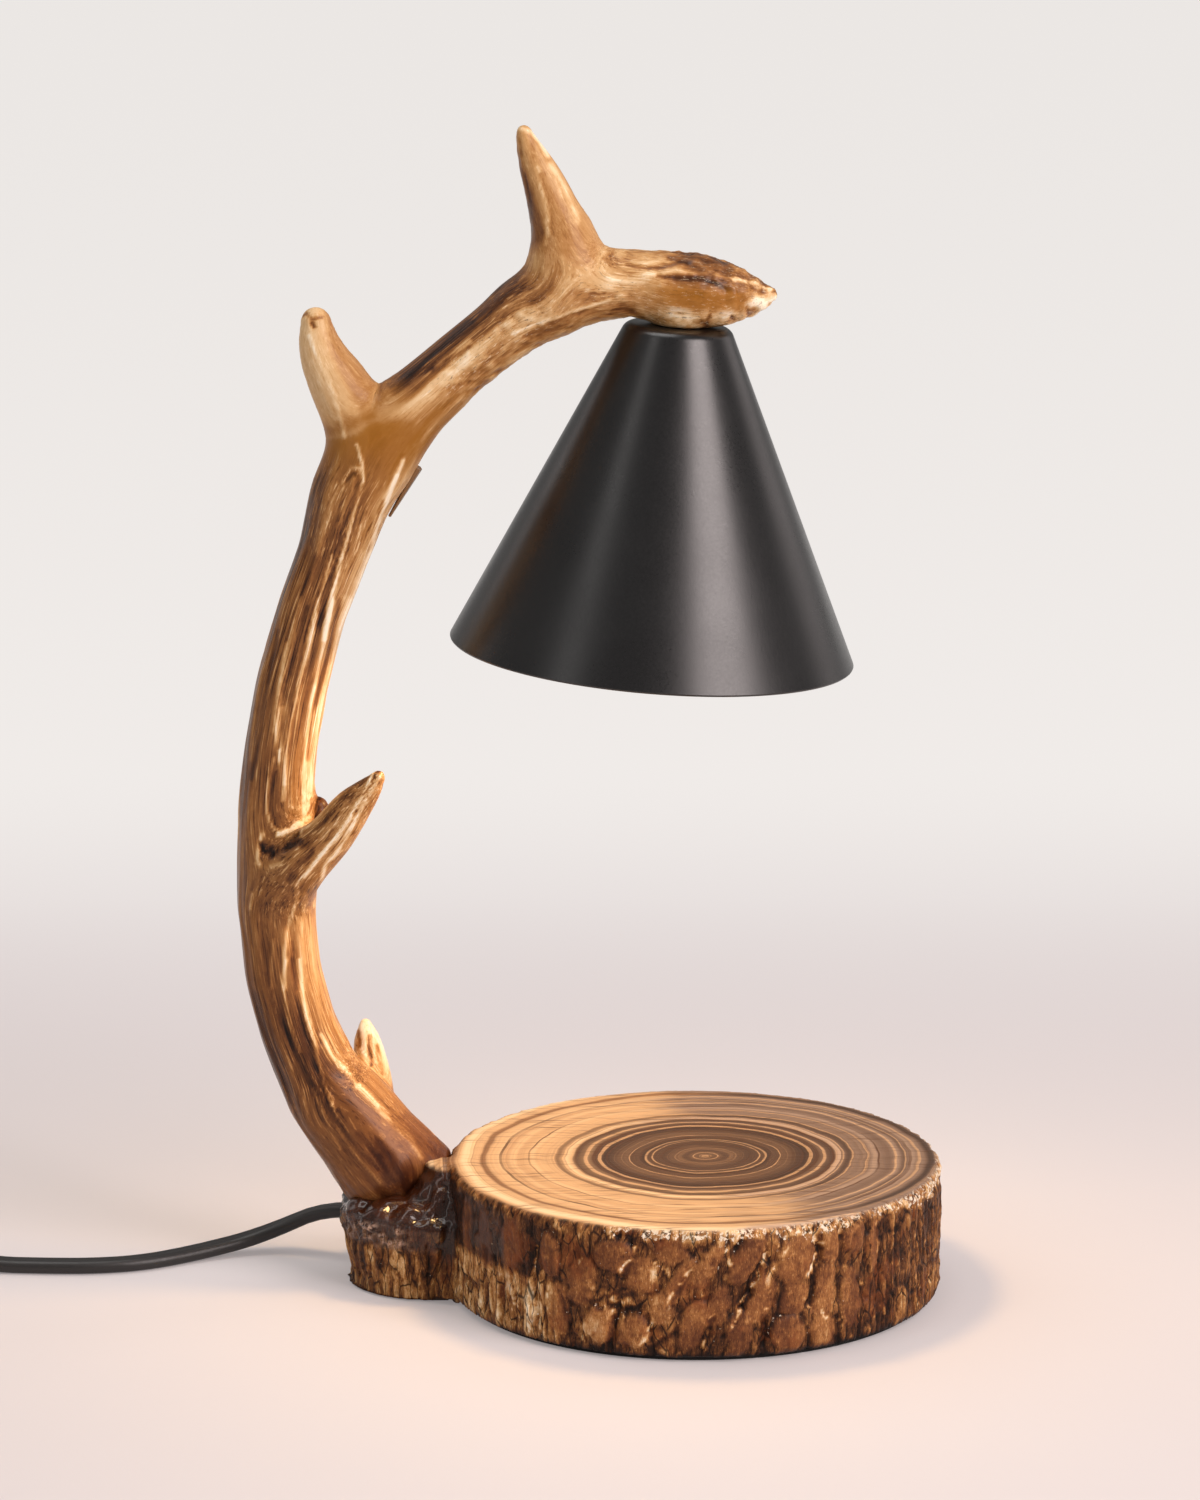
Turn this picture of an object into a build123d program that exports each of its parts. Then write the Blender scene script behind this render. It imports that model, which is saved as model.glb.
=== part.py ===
from build123d import *
import math
import os

# Candle warmer lamp: a bark-edged resin slice carries a resin antler, whose nose holds a spun
# metal shade with a GU10 lamp over the place where a jar candle stands.
# Millimetres. The origin is the middle of the slice's underside, +Z up, +X away from the antler.

os.makedirs("parts", exist_ok=True)

# ---- clearances ------------------------------------------------------------------------------
fit_gap = 0.15          # between pieces that are pushed together
thread_gap = 0.1        # between a screw and its hole, in place of the thread
clear_gap = 0.3         # between pieces that move past each other
running_gap = 0.05      # between the dimmer's spindle and its bushing

# ---- base ------------------------------------------------------------------------------------
disc_radius = 66.0
disc_top = 36.0
disc_edge = 1.5
stump_overhang = 5.0    # the stump's centre lies this far outside the slice's edge
stump_y = 8.0
stump_radius = 24.0
stump_top = 22.5
stump_taper = 1.5
pad_thickness = 1.5
pad_inset = 3.0
cavity_radius = 18.0
cavity_reach = 16.0     # from the stump's centre to the cavity's far end, towards the slice
cavity_top = 16.5
cover_lip = 2.0
cover_thickness = 1.5
cover_ledge = 8.0       # how much further the cover reaches than the cavity
boss_radius = 4.0
web_x = 6.5             # how far the lump of bark in the notch lies from the stump's centre
web_y = -19.0
web_radius = 6.5
web_top = 35.0
seam_depth = 1.3        # seams between the bark's plates
seam_width = 2.6
stump_seam_depth = 1.0
flake_rise = 0.9        # how far a flake of bark stands out

# ---- antler ----------------------------------------------------------------------------------
foot_offset = 9.0       # from the stump's centre to the antler's foot, away from the slice
foot_half_x = 13.5
foot_half_y = 11.0
foot_sink = 2.5         # how deep the foot is let into the stump
nose_seat_radius = 7.5
nose_seat_height = 6.0
nose_seat_spread = 2.0

# ---- conduit and its fasteners ---------------------------------------------------------------
conduit_radius = 4.0
conduit_wall = 1.0
conduit_y_shift = 5.0   # the conduit stands this far in front of the foot's middle
conduit_bottom = 8.0
conduit_rise = 6.0      # from the foot's end to the corner of the conduit's lowest bend
nose_bend_radius = 8.0
nut_flats_extra = 5.0   # across flats, more than the thread's diameter
nut_height = 4.0
washer_extra = 4.0      # radius, more than the thread's
washer_thickness = 1.2

# ---- shade -----------------------------------------------------------------------------------
shade_top_radius = 13.75
shade_rim_radius = 53.5
shade_height = 87.0
shade_wall = 0.8
shade_shoulder = 3.0
shade_hem = 2.5
shade_tilt = 4.5        # degrees, the rim leans towards the antler
shade_top_z = 261.5     # this height scales the whole antler
drawn_seat = (75.2, 241.5)  # the shade's top in the antler's drawing, across and up from the foot

# ---- lampholder and GU10 lamp ----------------------------------------------------------------
bracket_thickness = 1.2
bracket_width = 11.0
bracket_span = 22.4
bracket_drop = 7.1
bracket_foot = 5.7
holder_radius = 13.0
holder_height = 15.0
holder_face = 2.0
holder_well_radius = 6.5
holder_well_depth = 3.7
holder_screw_pitch = 17.0
pin_pitch = 10.0
pin_neck_radius = 1.4
pin_head_radius = 2.5
pin_head_height = 3.2
pin_turn = 25.0         # degrees of the bayonet's twist
pin_angles = (90, 270)  # degrees, where the pins go in
contact_width = 2.4
contact_thickness = 0.6
contact_stem = 1.0
slot_gap = 0.4          # round the pins, in the bayonet slots
bulb_base_radius = 12.7
bulb_base_width = 17.0
bulb_base_height = 14.0
bulb_neck_radius = 10.0
bulb_radius = 25.2
bulb_reflector_height = 32.6
bulb_glass = 1.2
bulb_lens_thickness = 1.8
lens_sink = 0.6         # how far the lens lies inside the bowl's rim
capsule_radius = 4.5
capsule_height = 17.0

# ---- mains cord ------------------------------------------------------------------------------
cord_width = 6.0
cord_thickness = 3.7
cord_exit_angle = 140.0     # degrees, about the stump's centre
cord_lift = 0.1             # between the floor and a cord that lies on it
core_radius = 0.8
core_spread = 1.4
bushing_wall = 1.5
clamp_depth = 4.4
clamp_thickness = 2.5
clamp_length = 13.0
cap_radius = 2.8
cap_length = 12.0
cap_wall = 0.6

# ---- dimmer on the cord ----------------------------------------------------------------------
dimmer_x = -280.0
dimmer_y = 13.0
dimmer_length = 60.0
dimmer_width = 30.0
dimmer_corner = 11.0
dimmer_seam = 11.0
dimmer_top_z = 22.0
dimmer_wall = 2.0
dimmer_cord_z = 7.0
grommet_length = 20.0
grommet_taper = 0.8     # how much thinner the grommet's wall is at its far end
board_thickness = 1.6
board_lift = 1.0
pot_size = 14.0
pot_height = 9.0
spindle_radius = 3.0
knob_radius = 10.0
knob_height = 8.0
knob_cap = 1.6

# ---- plug ------------------------------------------------------------------------------------
plug_x = -283.0
plug_y = -67.5
plug_length = 28.0
plug_width = 25.0
plug_height = 15.0
relief_length = 22.0
blade_pitch = 12.7
blade_length = 17.0
blade_thickness = 1.5
blade_widths = (6.35, 7.94)
blade_root = 6.0

# ---- coil of spare cord ----------------------------------------------------------------------
coil_x = -372.0
coil_y = -32.0
coil_inner_radius = 22.3
coil_outer_radius = 48.7
coil_height = 8.0

# ---- places worked out from the sizes above --------------------------------------------------
stump_x = -(disc_radius + stump_overhang)
foot_x = stump_x - foot_offset
foot_z = stump_top - foot_sink
conduit_x = foot_x + 1.0
conduit_y = stump_y - conduit_y_shift
arm_scale = (shade_top_z - foot_z) / drawn_seat[1]
tilt = math.radians(shade_tilt)
shade_plane = Plane(
    origin=(foot_x + drawn_seat[0] * arm_scale, 0, shade_top_z),
    x_dir=(math.cos(tilt), 0, -math.sin(tilt)),
    z_dir=(math.sin(tilt), 0, math.cos(tilt)),
)
shade_frame = shade_plane.location
shade_slope = math.atan((shade_rim_radius - shade_top_radius) / shade_height)

washer_top = -shade_wall
bracket_top = washer_top - washer_thickness
upper_nut_top = bracket_top - bracket_thickness
holder_top = bracket_top - bracket_drop
holder_bottom = holder_top - holder_height
bulb_top = holder_bottom - clear_gap
bulb_shoulder = bulb_top - bulb_base_height
bulb_rim = bulb_shoulder - bulb_reflector_height


# ---- helpers ---------------------------------------------------------------------------------
def ground_cylinder(radius, bottom, top, x=0.0, y=0.0):
    """A round post from one height to another."""
    post = Cylinder(radius, top - bottom, align=(Align.CENTER, Align.CENTER, Align.MIN))
    return Pos(x, y, bottom) * post


def ground_block(size_x, size_y, bottom, top, x=0.0, y=0.0):
    """A block from one height to another."""
    block = Box(size_x, size_y, top - bottom, align=(Align.CENTER, Align.CENTER, Align.MIN))
    return Pos(x, y, bottom) * block


def raised(sketch, bottom, top, x=0.0, y=0.0):
    """A flat outline pulled up from one height to another."""
    return Pos(x, y, bottom) * extrude(sketch, top - bottom)


def turned(*points):
    """A solid of revolution about Z from (radius, height) corners."""
    return revolve(Plane.XZ * make_face(Polyline(*points, close=True)), Axis.Z)


def hexagon(flats, bottom, top):
    """A hexagonal prism by its width across flats."""
    return raised(RegularPolygon(flats / 2, 6, major_radius=False), bottom, top)


def corner_radii(points, reach=None):
    """The largest tangent arcs that a route's runs allow, or arcs that start so far from a corner."""
    radii = []
    for before, here, after in zip(points, points[1:], points[2:]):
        run_in = Vector(*here) - Vector(*before)
        run_out = Vector(*after) - Vector(*here)
        half_turn = math.radians(run_in.get_angle(run_out)) / 2
        tangent = reach or 0.45 * min(run_in.length, run_out.length)
        radii.append(tangent / math.tan(half_turn))
    return radii


def routed(points, radii=None):
    """A path of straight runs joined by tangent arcs."""
    return FilletPolyline(*points, radius=radii or corner_radii(points))


def swept_level(points, profile):
    """Pull a profile along a route, with its width kept level by a second route above."""
    path = routed(points)
    guide = routed([(x, y, z + 5.0) for x, y, z in points])
    heading = path % 0
    start = Plane(origin=path @ 0, x_dir=(-heading.Y, heading.X, 0), z_dir=heading)
    return sweep(start * profile, path=path, binormal=guide)


def round_tube(path, radius):
    """A round rod along a path."""
    start = Plane(origin=path @ 0, z_dir=path % 0)
    return sweep(start * Circle(radius), path=path)


def limb(stations):
    """A tapering limb through round sections (x, y, z, radius)."""
    centres = [Vector(*s[:3]) for s in stations]
    sections = []
    for i, station in enumerate(stations):
        ahead = centres[min(i + 1, len(centres) - 1)]
        behind = centres[max(i - 1, 0)]
        across = Plane(origin=centres[i], x_dir=(0, 1, 0), z_dir=(ahead - behind).normalized())
        sections.append(across * Circle(station[3]))
    return sections


def drawn_place(x, y, z):
    """A place given from the antler's foot in the drawing, put in the lamp's frame."""
    return foot_x + x * arm_scale, stump_y + y * arm_scale, foot_z + z * arm_scale


def from_foot(stations):
    """Round sections of the antler's drawing, put in the lamp's frame."""
    return [(*drawn_place(x, y, z), r * arm_scale) for x, y, z, r in stations]


def at_angle(angle, distance):
    """A point about the stump's centre."""
    turn = math.radians(angle)
    return stump_x + distance * math.cos(turn), stump_y + distance * math.sin(turn)


# ---- antler ----------------------------------------------------------------------------------
beam_stations = from_foot([
    (-3.8, 0, 12.0, 13.3), (-10.5, 0, 21.0, 12.0), (-18.0, 0, 30.7, 11.0),
    (-26.1, 0, 50.2, 10.3), (-30.0, 0, 65.5, 10.2), (-31.5, -0.5, 83.0, 10.0),
    (-31.4, -1, 97.7, 10.2), (-31.3, -1, 112.2, 9.6), (-29.6, -2, 128.0, 9.5),
    (-26.9, -2, 143.3, 9.5), (-21.1, -3, 164.4, 9.1), (-15.1, -3, 180.4, 9.2),
    (-8.7, -4, 195.7, 10.8), (-2.0, -4, 207.7, 11.6), (6.7, -5, 219.6, 9.5),
    (17.9, -5, 230.4, 8.5), (28.4, -6, 239.0, 8.6), (35.5, -6, 244.8, 9.6),
    (48.3, -7, 251.5, 9.7), (63.9, -8, 252.6, 8.6), (72.5, -8, 250.9, 10.0),
    (80.8, -8, 250.1, 10.0), (89.1, -8, 249.5, 7.9), (95.3, -8, 249.3, 4.9),
    (100.3, -8, 249.8, 1.6),
])
top_tine = from_foot([
    (45.0, -7, 250.0, 8.5), (46.0, -7, 258.0, 9.6), (45.2, -6, 264.7, 8.6),
    (42.9, -6, 271.0, 6.6), (40.7, -6, 277.3, 5.7), (38.1, -6, 283.5, 4.9),
    (36.2, -6, 289.8, 3.5), (34.4, -6, 294.0, 0.9),
])
rear_tine = from_foot([
    (0.0, -4, 204.0, 9.0), (-4.6, -4, 210.4, 10.2), (-10.0, -4, 218.3, 8.9),
    (-14.0, -4, 226.3, 7.8), (-17.1, -4, 231.6, 6.4), (-19.3, -4, 236.8, 5.4),
    (-20.9, -4, 241.4, 4.3), (-21.8, -4, 245.2, 1.9),
])
front_tine = from_foot([
    (-31.0, -1, 85.0, 7.6), (-29.5, -6, 90.5, 7.9), (-24.2, -12, 98.6, 6.8),
    (-16.1, -16, 107.2, 5.6), (-10.7, -19, 115.7, 4.8), (-4.4, -22, 122.9, 2.3),
    (-2.0, -23, 125.4, 0.8),
])
low_tine = from_foot([
    (-13.0, 4, 18.0, 5.0), (-8.5, 8, 24.0, 5.4), (-6.3, 10.5, 30.0, 5.2),
    (-7.0, 11.5, 37.3, 4.3), (-8.2, 12, 44.4, 3.4), (-8.6, 12, 48.6, 1.2),
])
side_ridge = from_foot([
    (-6.0, -1, 181.0, 3.0), (2.0, 1.5, 192.0, 2.4), (6.9, 1.5, 201.4, 1.7),
])
root_stations = from_foot([
    (-13.5, 0, 29.5, 9.6), (-10.4, 0, 26.0, 9.8), (-3.8, 0, 18.6, 9.4), (3.8, 0, 13.0, 8.5),
    (9.6, 0, 10.0, 7.5), (16.0, 0, 7.0, 7.0),
])


def antler_root(extra=0.0):
    """The root that spreads from the antler's foot to the slice's edge, above the stump."""
    root = loft(limb([(x, y, z, r + extra) for x, y, z, r in root_stations]), ruled=True)
    reach = 2 * disc_radius
    root = root - ground_block(reach, reach, -reach, stump_top + clear_gap - extra, foot_x, stump_y)
    return root - ground_cylinder(disc_radius + fit_gap - extra, 0, disc_top + fit_gap - extra)


def antler_arm():
    """One resin casting: beam, tines, nose with a flat seat, and a channel for the conduit."""
    foot = Ellipse(foot_half_x, foot_half_y)
    foot_sections = [Pos(foot_x, stump_y, z) * foot for z in (foot_z, stump_top + clear_gap)]
    body = loft(foot_sections + limb(beam_stations), ruled=True)
    for tine in (top_tine, rear_tine, front_tine, low_tine, side_ridge):
        body = body + loft(limb(tine), ruled=True)
    body = body + antler_root()
    seat = turned(
        (0, 0), (nose_seat_radius, 0),
        (nose_seat_radius + nose_seat_spread, nose_seat_height), (0, nose_seat_height),
    )
    body = body + shade_frame * seat
    below_seat = ground_block(2 * shade_top_radius, 2 * shade_top_radius, -shade_top_radius, 0)
    return body - shade_frame * below_seat - conduit_channel(conduit_radius + fit_gap)


# ---- conduit ---------------------------------------------------------------------------------
conduit_end = holder_top + 0.8
conduit_bends = [
    (-19.5, -1.0, 33.0), (-31.8, -1.5, 74.0), (-31.8, -1.0, 116.0), (-23.0, -2.5, 161.0),
    (-1.6, -4.5, 208.0), (30.0, -6.0, 241.6), (50.5, -7.5, 251.6),
]


def conduit_route(y_shift=0.0, bottom=conduit_bottom, end=conduit_end):
    """Corners of the conduit's middle line, from the base's cavity to the lampholder."""
    nose = shade_plane.from_local_coords(Vector(0, 0, 10.0))
    tip = shade_plane.from_local_coords(Vector(0, 0, end))
    low = (conduit_x, conduit_y, foot_z + conduit_rise)
    bends = [drawn_place(*bend) for bend in conduit_bends]
    points = [(conduit_x, conduit_y, bottom), low, *bends, tuple(nose), tuple(tip)]
    return [(x, y + y_shift, z) for x, y, z in points]


def conduit_radii(points):
    """Bend radii of the conduit: it leaves the base straight, and turns down tightly in the nose."""
    radii = corner_radii(points)
    radii[0] = corner_radii(points[:3], conduit_rise)[0]
    radii[-1] = nose_bend_radius
    return radii


def conduit_path():
    points = conduit_route()
    return routed(points, conduit_radii(points))


def conduit_channel(radius):
    """The rod that the conduit's bore, outside or channel follows."""
    return round_tube(conduit_path(), radius)


def arm_conduit():
    return conduit_channel(conduit_radius) - conduit_channel(conduit_radius - conduit_wall)


def conduit_washers():
    """One washer under the base's wall, one under the shade's top."""
    ring = turned(
        (conduit_radius + fit_gap, 0), (conduit_radius + washer_extra, 0),
        (conduit_radius + washer_extra, washer_thickness),
        (conduit_radius + fit_gap, washer_thickness),
    )
    lower = Pos(conduit_x, conduit_y, cavity_top - washer_thickness) * ring
    upper = shade_frame * (Pos(0, 0, bracket_top) * ring)
    return [lower, upper]


def conduit_nuts():
    """The nuts that pull antler and base, and shade and bracket, together."""
    flats = 2 * conduit_radius + nut_flats_extra
    nut = hexagon(flats, 0, nut_height) - ground_cylinder(conduit_radius + thread_gap, 0, nut_height)
    lower = Pos(conduit_x, conduit_y, cavity_top - washer_thickness - nut_height) * nut
    upper = shade_frame * (Pos(0, 0, upper_nut_top - nut_height) * nut)
    return [lower, upper]


# ---- base ------------------------------------------------------------------------------------
cover_top = pad_thickness + cover_thickness
cavity_middle = stump_x + cavity_reach / 2
cover_middle = stump_x + (cavity_reach + cover_ledge) / 2
boss_distance = cavity_radius - boss_radius / 2
rear_boss_shift = 5.0   # keeps the rear boss clear of the cord's way in
ledge_screw_spread = 9.0
ledge_screw_inset = 2.7     # from the cavity's far end to the two screws in the ledge
ledge_screw_x = stump_x + cavity_reach + cavity_radius + ledge_screw_inset
cover_screw_places = [
    (stump_x, stump_y - boss_distance), (stump_x + rear_boss_shift, stump_y + boss_distance),
    (ledge_screw_x, stump_y - ledge_screw_spread), (ledge_screw_x, stump_y + ledge_screw_spread),
]
cord_z = cavity_top - cord_thickness / 2
screw_core = 1.4
screw_head = 2.9
cover_screw_length = 9.0
stump_side_at_cord = stump_radius - stump_taper * (stump_top - cord_z) / (stump_top - pad_thickness)


def cord_section(extra=0.0):
    """The flat twin cord's section, or a hole or sleeve that is larger all round."""
    return SlotOverall(cord_width + 2 * extra, cord_thickness + 2 * extra)


def tapered_sleeve(root, length):
    """A solid sleeve round the cord that gets thinner away from its root."""
    tip = root.offset(length)
    return loft([
        root * cord_section(bushing_wall), tip * cord_section(bushing_wall - grommet_taper)
    ], ruled=True)


def along_cord_exit(sketch, near, far):
    """Pull a section from one distance to another along the cord's way out of the stump."""
    turn = math.radians(cord_exit_angle)
    outward = (math.cos(turn), math.sin(turn), 0)
    level = (-math.sin(turn), math.cos(turn), 0)
    start = Plane(origin=(*at_angle(cord_exit_angle, near), cord_z), x_dir=level, z_dir=outward)
    return extrude(start * sketch, far - near)


def clamp_places():
    """Both clamp screws, one each side of the cord."""
    middle = Vector(*at_angle(cord_exit_angle, clamp_distance))
    turn = math.radians(cord_exit_angle)
    across = Vector(-math.sin(turn), math.cos(turn)) * (clamp_length / 2 - clamp_screw_head + 0.4)
    return [middle - across, middle + across]


flange_face = cavity_radius - 1.1
flange_thickness = 1.0
cord_inner_end = flange_face - flange_thickness - clamp_depth - 1.0
clamp_distance = flange_face - flange_thickness - 0.4 - clamp_depth / 2
clamp_screw_core = 1.1
clamp_screw_head = 2.0
clamp_screw_bite = 2.2


slice_side = (0.0, 0.0, disc_radius, disc_radius, disc_top)
stump_side = (stump_x, stump_y, stump_radius - stump_taper, stump_radius, stump_top)
# seams and flakes by degrees from the front and share of the side's height; a seam by both ends
slice_seams = [
    (-66, 0.10, -65, 0.85), (-58, 0.05, -57, 0.62), (-50.5, 0.08, -50.5, 0.50),
    (-46, 0.02, -45.5, 0.50), (-39.2, 0.12, -39.6, 0.74), (-29, 0.02, -33, 0.46),
    (-28.2, 0.62, -28, 0.93), (-20.5, 0.03, -18.0, 0.42), (-10.2, 0.02, -11, 0.35),
    (-17, 0.58, -15.2, 0.75), (-6.8, 0.36, -1.2, 0.72), (0.4, 0.04, 3.8, 0.34),
    (8.0, 0.24, 15.5, 0.82), (14.5, 0.02, 15.5, 0.30), (26.4, 0.30, 29.0, 0.92),
    (26.0, 0.02, 26.5, 0.18), (33.8, 0.32, 35.0, 0.80), (34.5, 0.02, 33.8, 0.24),
    (41.5, 0.30, 42.2, 0.92), (41.0, 0.02, 42.0, 0.20), (47.0, 0.30, 46.0, 0.90),
    (53.5, 0.06, 52.5, 0.86), (61, 0.04, 60, 0.80), (69, 0.30, 68, 0.95), (76, 0.05, 77, 0.72),
    (85, 0.10, 84, 0.90), (94, 0.04, 96, 0.55), (103, 0.25, 102, 0.93), (112, 0.05, 110, 0.80),
    (121, 0.35, 123, 0.92), (129, 0.04, 128, 0.60), (138, 0.12, 139, 0.90), (147, 0.05, 145, 0.50),
    (155, 0.30, 156, 0.94), (164, 0.06, 162, 0.78), (173, 0.10, 175, 0.60), (182, 0.32, 181, 0.93),
    (191, 0.05, 192, 0.70), (200, 0.15, 198, 0.90), (209, 0.05, 211, 0.55), (218, 0.28, 217, 0.94),
    (227, 0.06, 226, 0.80), (236, 0.62, 237, 0.92), (245, 0.66, 244, 0.94),
]
slice_flakes = [   # with its half width, half height and lean in degrees
    (-14.6, 0.21, 4.2, 4.4, -10), (-22.6, 0.22, 3.8, 4.4, 0), (-19.3, 0.74, 5.4, 4.2, 0),
    (-33.5, 0.70, 3.2, 6.0, -6), (-4.6, 0.60, 2.6, 6.0, 24), (3.0, 0.62, 3.4, 7.0, 26),
    (11.4, 0.70, 3.2, 7.2, 26), (22.6, 0.72, 4.8, 7.4, 12), (31.4, 0.76, 2.4, 6.0, 2),
    (38.0, 0.80, 3.2, 5.0, 0), (20.6, 0.16, 4.6, 4.4, -6), (7.4, 0.20, 3.2, 5.4, 6),
]
stump_seams = [
    (angle, 0.04 + 0.05 * (i % 3), angle + 3 - 2 * (i % 3), 0.72 + 0.07 * (i % 3))
    for i, angle in enumerate(range(-150, 60, 15))
]


def on_bark(side, angle, share):
    """A place on a side of the base, and the ways along it and out of it."""
    middle_x, middle_y, bottom_radius, top_radius, top = side
    turn = math.radians(angle)
    radius = bottom_radius + share * (top_radius - bottom_radius)
    along = Vector(math.cos(turn), math.sin(turn), 0)
    out = Vector(math.sin(turn), -math.cos(turn), 0)
    height = pad_thickness + share * (top - pad_thickness)
    return Vector(middle_x, middle_y, height) + out * radius, along, out


def bark_seam(side, depth, low_angle, low_share, high_angle, high_share):
    """The V between two plates of bark."""
    low, along, out = on_bark(side, low_angle, low_share)
    high = on_bark(side, high_angle, high_share)[0]
    notch = Plane(origin=low, x_dir=along, z_dir=high - low) * make_face(Polyline(
        (-seam_width, -depth), (0, depth), (seam_width, -depth), close=True,
    ))
    return extrude(notch, (high - low).length)


def bark_flake(side, angle, share, half_width, half_height, lean):
    """A flat flake that stands out of the bark."""
    place, along, out = on_bark(side, angle, share)
    outline = make_face(Polyline(
        (half_width, -half_height / 2), (half_width, half_height / 2),
        (half_width / 2, half_height), (-half_width / 2, half_height),
        (-half_width, half_height / 2), (-half_width, -half_height / 2),
        (-half_width / 2, -half_height), (half_width / 2, -half_height), close=True,
    ))
    start = Plane(origin=place - out * 3.0, x_dir=along, z_dir=out)
    return extrude(start * (Rot(0, 0, -lean) * outline), 3.0 + flake_rise)


def bark_web():
    """The lump of bark that fills the notch between stump and slice, trimmed round the antler."""
    middle_x = stump_x + web_x
    sections = [
        Pos(middle_x, stump_y + web_y, pad_thickness) * Circle(web_radius),
        Pos(middle_x - 0.5, stump_y + web_y + 2.5, stump_top) * Circle(web_radius),
        Pos(middle_x - 1.0, stump_y + web_y + 6.0, (stump_top + web_top) / 2) * Circle(0.85 * web_radius),
        Pos(middle_x - 1.0, stump_y + web_y + 9.0, web_top) * Circle(0.45 * web_radius),
    ]
    return loft(sections, ruled=True) - antler_root(fit_gap)


def base_slice():
    """The resin slice with its stump, wired from a cavity that opens downwards."""
    floor = pad_thickness
    disc = turned(
        (0, floor), (disc_radius - disc_edge, floor), (disc_radius, floor + disc_edge),
        (disc_radius, disc_top - disc_edge), (disc_radius - disc_edge, disc_top), (0, disc_top),
    )
    stump = Pos(stump_x, stump_y, 0) * turned(
        (0, floor), (stump_radius - stump_taper, floor), (stump_radius, stump_top), (0, stump_top),
    )
    cavity = raised(SlotCenterToCenter(cavity_reach, 2 * cavity_radius), floor, cavity_top)
    body = disc + [bark_flake(slice_side, *flake) for flake in slice_flakes]
    body = body - [bark_seam(slice_side, seam_depth, *seam) for seam in slice_seams]
    stump = stump - [bark_seam(stump_side, stump_seam_depth, *seam) for seam in stump_seams]
    body = body + stump + bark_web() - Pos(cavity_middle, stump_y, 0) * cavity
    recess = SlotCenterToCenter(cavity_reach + cover_ledge, 2 * (cavity_radius + cover_lip))
    body = body + [
        ground_cylinder(boss_radius, cover_top, cavity_top, *place) for place in cover_screw_places[:2]
    ]
    body = body - raised(recess, floor, cover_top, cover_middle, stump_y)
    body = body - [
        ground_cylinder(screw_core + thread_gap, floor, floor + cover_screw_length + 0.5, *place)
        for place in cover_screw_places
    ]
    socket = Ellipse(foot_half_x + fit_gap, foot_half_y + fit_gap)
    body = body - raised(socket, foot_z, disc_top, foot_x, stump_y)
    body = body - ground_cylinder(conduit_radius + fit_gap, cavity_top, foot_z, conduit_x, conduit_y)
    hole = cord_section(bushing_wall + fit_gap)
    body = body - along_cord_exit(hole, flange_face, stump_radius + 2.0)
    pilot_top = cavity_top + clamp_screw_bite + 0.2
    return body - [
        ground_cylinder(clamp_screw_core + thread_gap, cavity_top, pilot_top, p.X, p.Y)
        for p in clamp_places()
    ]


def bottom_cover():
    """The plate that closes the wiring cavity, flush with the underside."""
    outline = SlotCenterToCenter(cavity_reach + cover_ledge, 2 * (cavity_radius + cover_lip - fit_gap))
    plate = raised(outline, pad_thickness, cover_top, cover_middle, stump_y)
    sink = turned(
        (0, pad_thickness), (screw_head + thread_gap, pad_thickness),
        (screw_core + thread_gap, cover_top), (0, cover_top),
    )
    return plate - [Pos(x, y, 0) * sink for x, y in cover_screw_places]


def cover_screws():
    tip = pad_thickness + cover_screw_length
    screw = turned(
        (0, pad_thickness), (screw_head, pad_thickness), (screw_core, cover_top),
        (screw_core, tip - 1.0), (0.5, tip), (0, tip),
    )
    return [Pos(x, y, 0) * screw for x, y in cover_screw_places]


def base_pad():
    """The foam pad that the lamp rests on, set in from the bark."""
    disc = ground_cylinder(disc_radius - pad_inset, 0, pad_thickness)
    stump = ground_cylinder(stump_radius - stump_taper - pad_inset, 0, pad_thickness, stump_x, stump_y)
    return disc + stump


def cord_bushing():
    """The flush sleeve in the cord's hole, held by an inner flange."""
    sleeve = along_cord_exit(cord_section(bushing_wall), flange_face, stump_side_at_cord + 0.3)
    flange = along_cord_exit(cord_section(bushing_wall + 1.0), flange_face - flange_thickness, flange_face)
    # the flange is trimmed where it would reach past the cavity's ceiling
    reach = 2 * stump_radius
    flange = flange - ground_block(reach, reach, cavity_top, cavity_top + reach, stump_x, stump_y)
    bore = along_cord_exit(cord_section(thread_gap), 0, stump_radius + 2.0)
    return sleeve + flange - bore


def cord_clamp():
    """The bar that holds the cord against the cavity's ceiling."""
    top = cord_z - cord_thickness / 2
    bar = Rot(0, 0, cord_exit_angle) * ground_block(clamp_depth, clamp_length, top - clamp_thickness, top)
    bar = Pos(*at_angle(cord_exit_angle, clamp_distance), 0) * bar
    return bar - [
        ground_cylinder(clamp_screw_core + thread_gap, top - clamp_thickness, top, p.X, p.Y)
        for p in clamp_places()
    ]


def clamp_screws():
    under = cord_z - cord_thickness / 2 - clamp_thickness
    return [
        ground_cylinder(clamp_screw_head, under - 1.4, under, p.X, p.Y)
        + ground_cylinder(clamp_screw_core, under, cavity_top + clamp_screw_bite, p.X, p.Y)
        for p in clamp_places()
    ]


# ---- wiring inside the base and the arm ------------------------------------------------------
cap_mouth_x = stump_x + 4.5
cap_z = 8.0
cap_ys = (stump_y - 1.0, stump_y + 6.0)
wire_offset = 1.0       # each wire lies this far above or below a cap's middle
wire_depth = 5.0        # how far a wire reaches into its cap
arm_wire_spread = 1.3


def wire_joints():
    """Closed crimp caps, each over one cord core and one arm wire."""
    cap = ground_cylinder(cap_radius, 0, cap_length)
    cap = cap - ground_cylinder(cap_radius - cap_wall, 0, cap_length - 3.0)
    return [Pos(cap_mouth_x, y, cap_z) * (Rot(0, 90, 0) * cap) for y in cap_ys]


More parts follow.
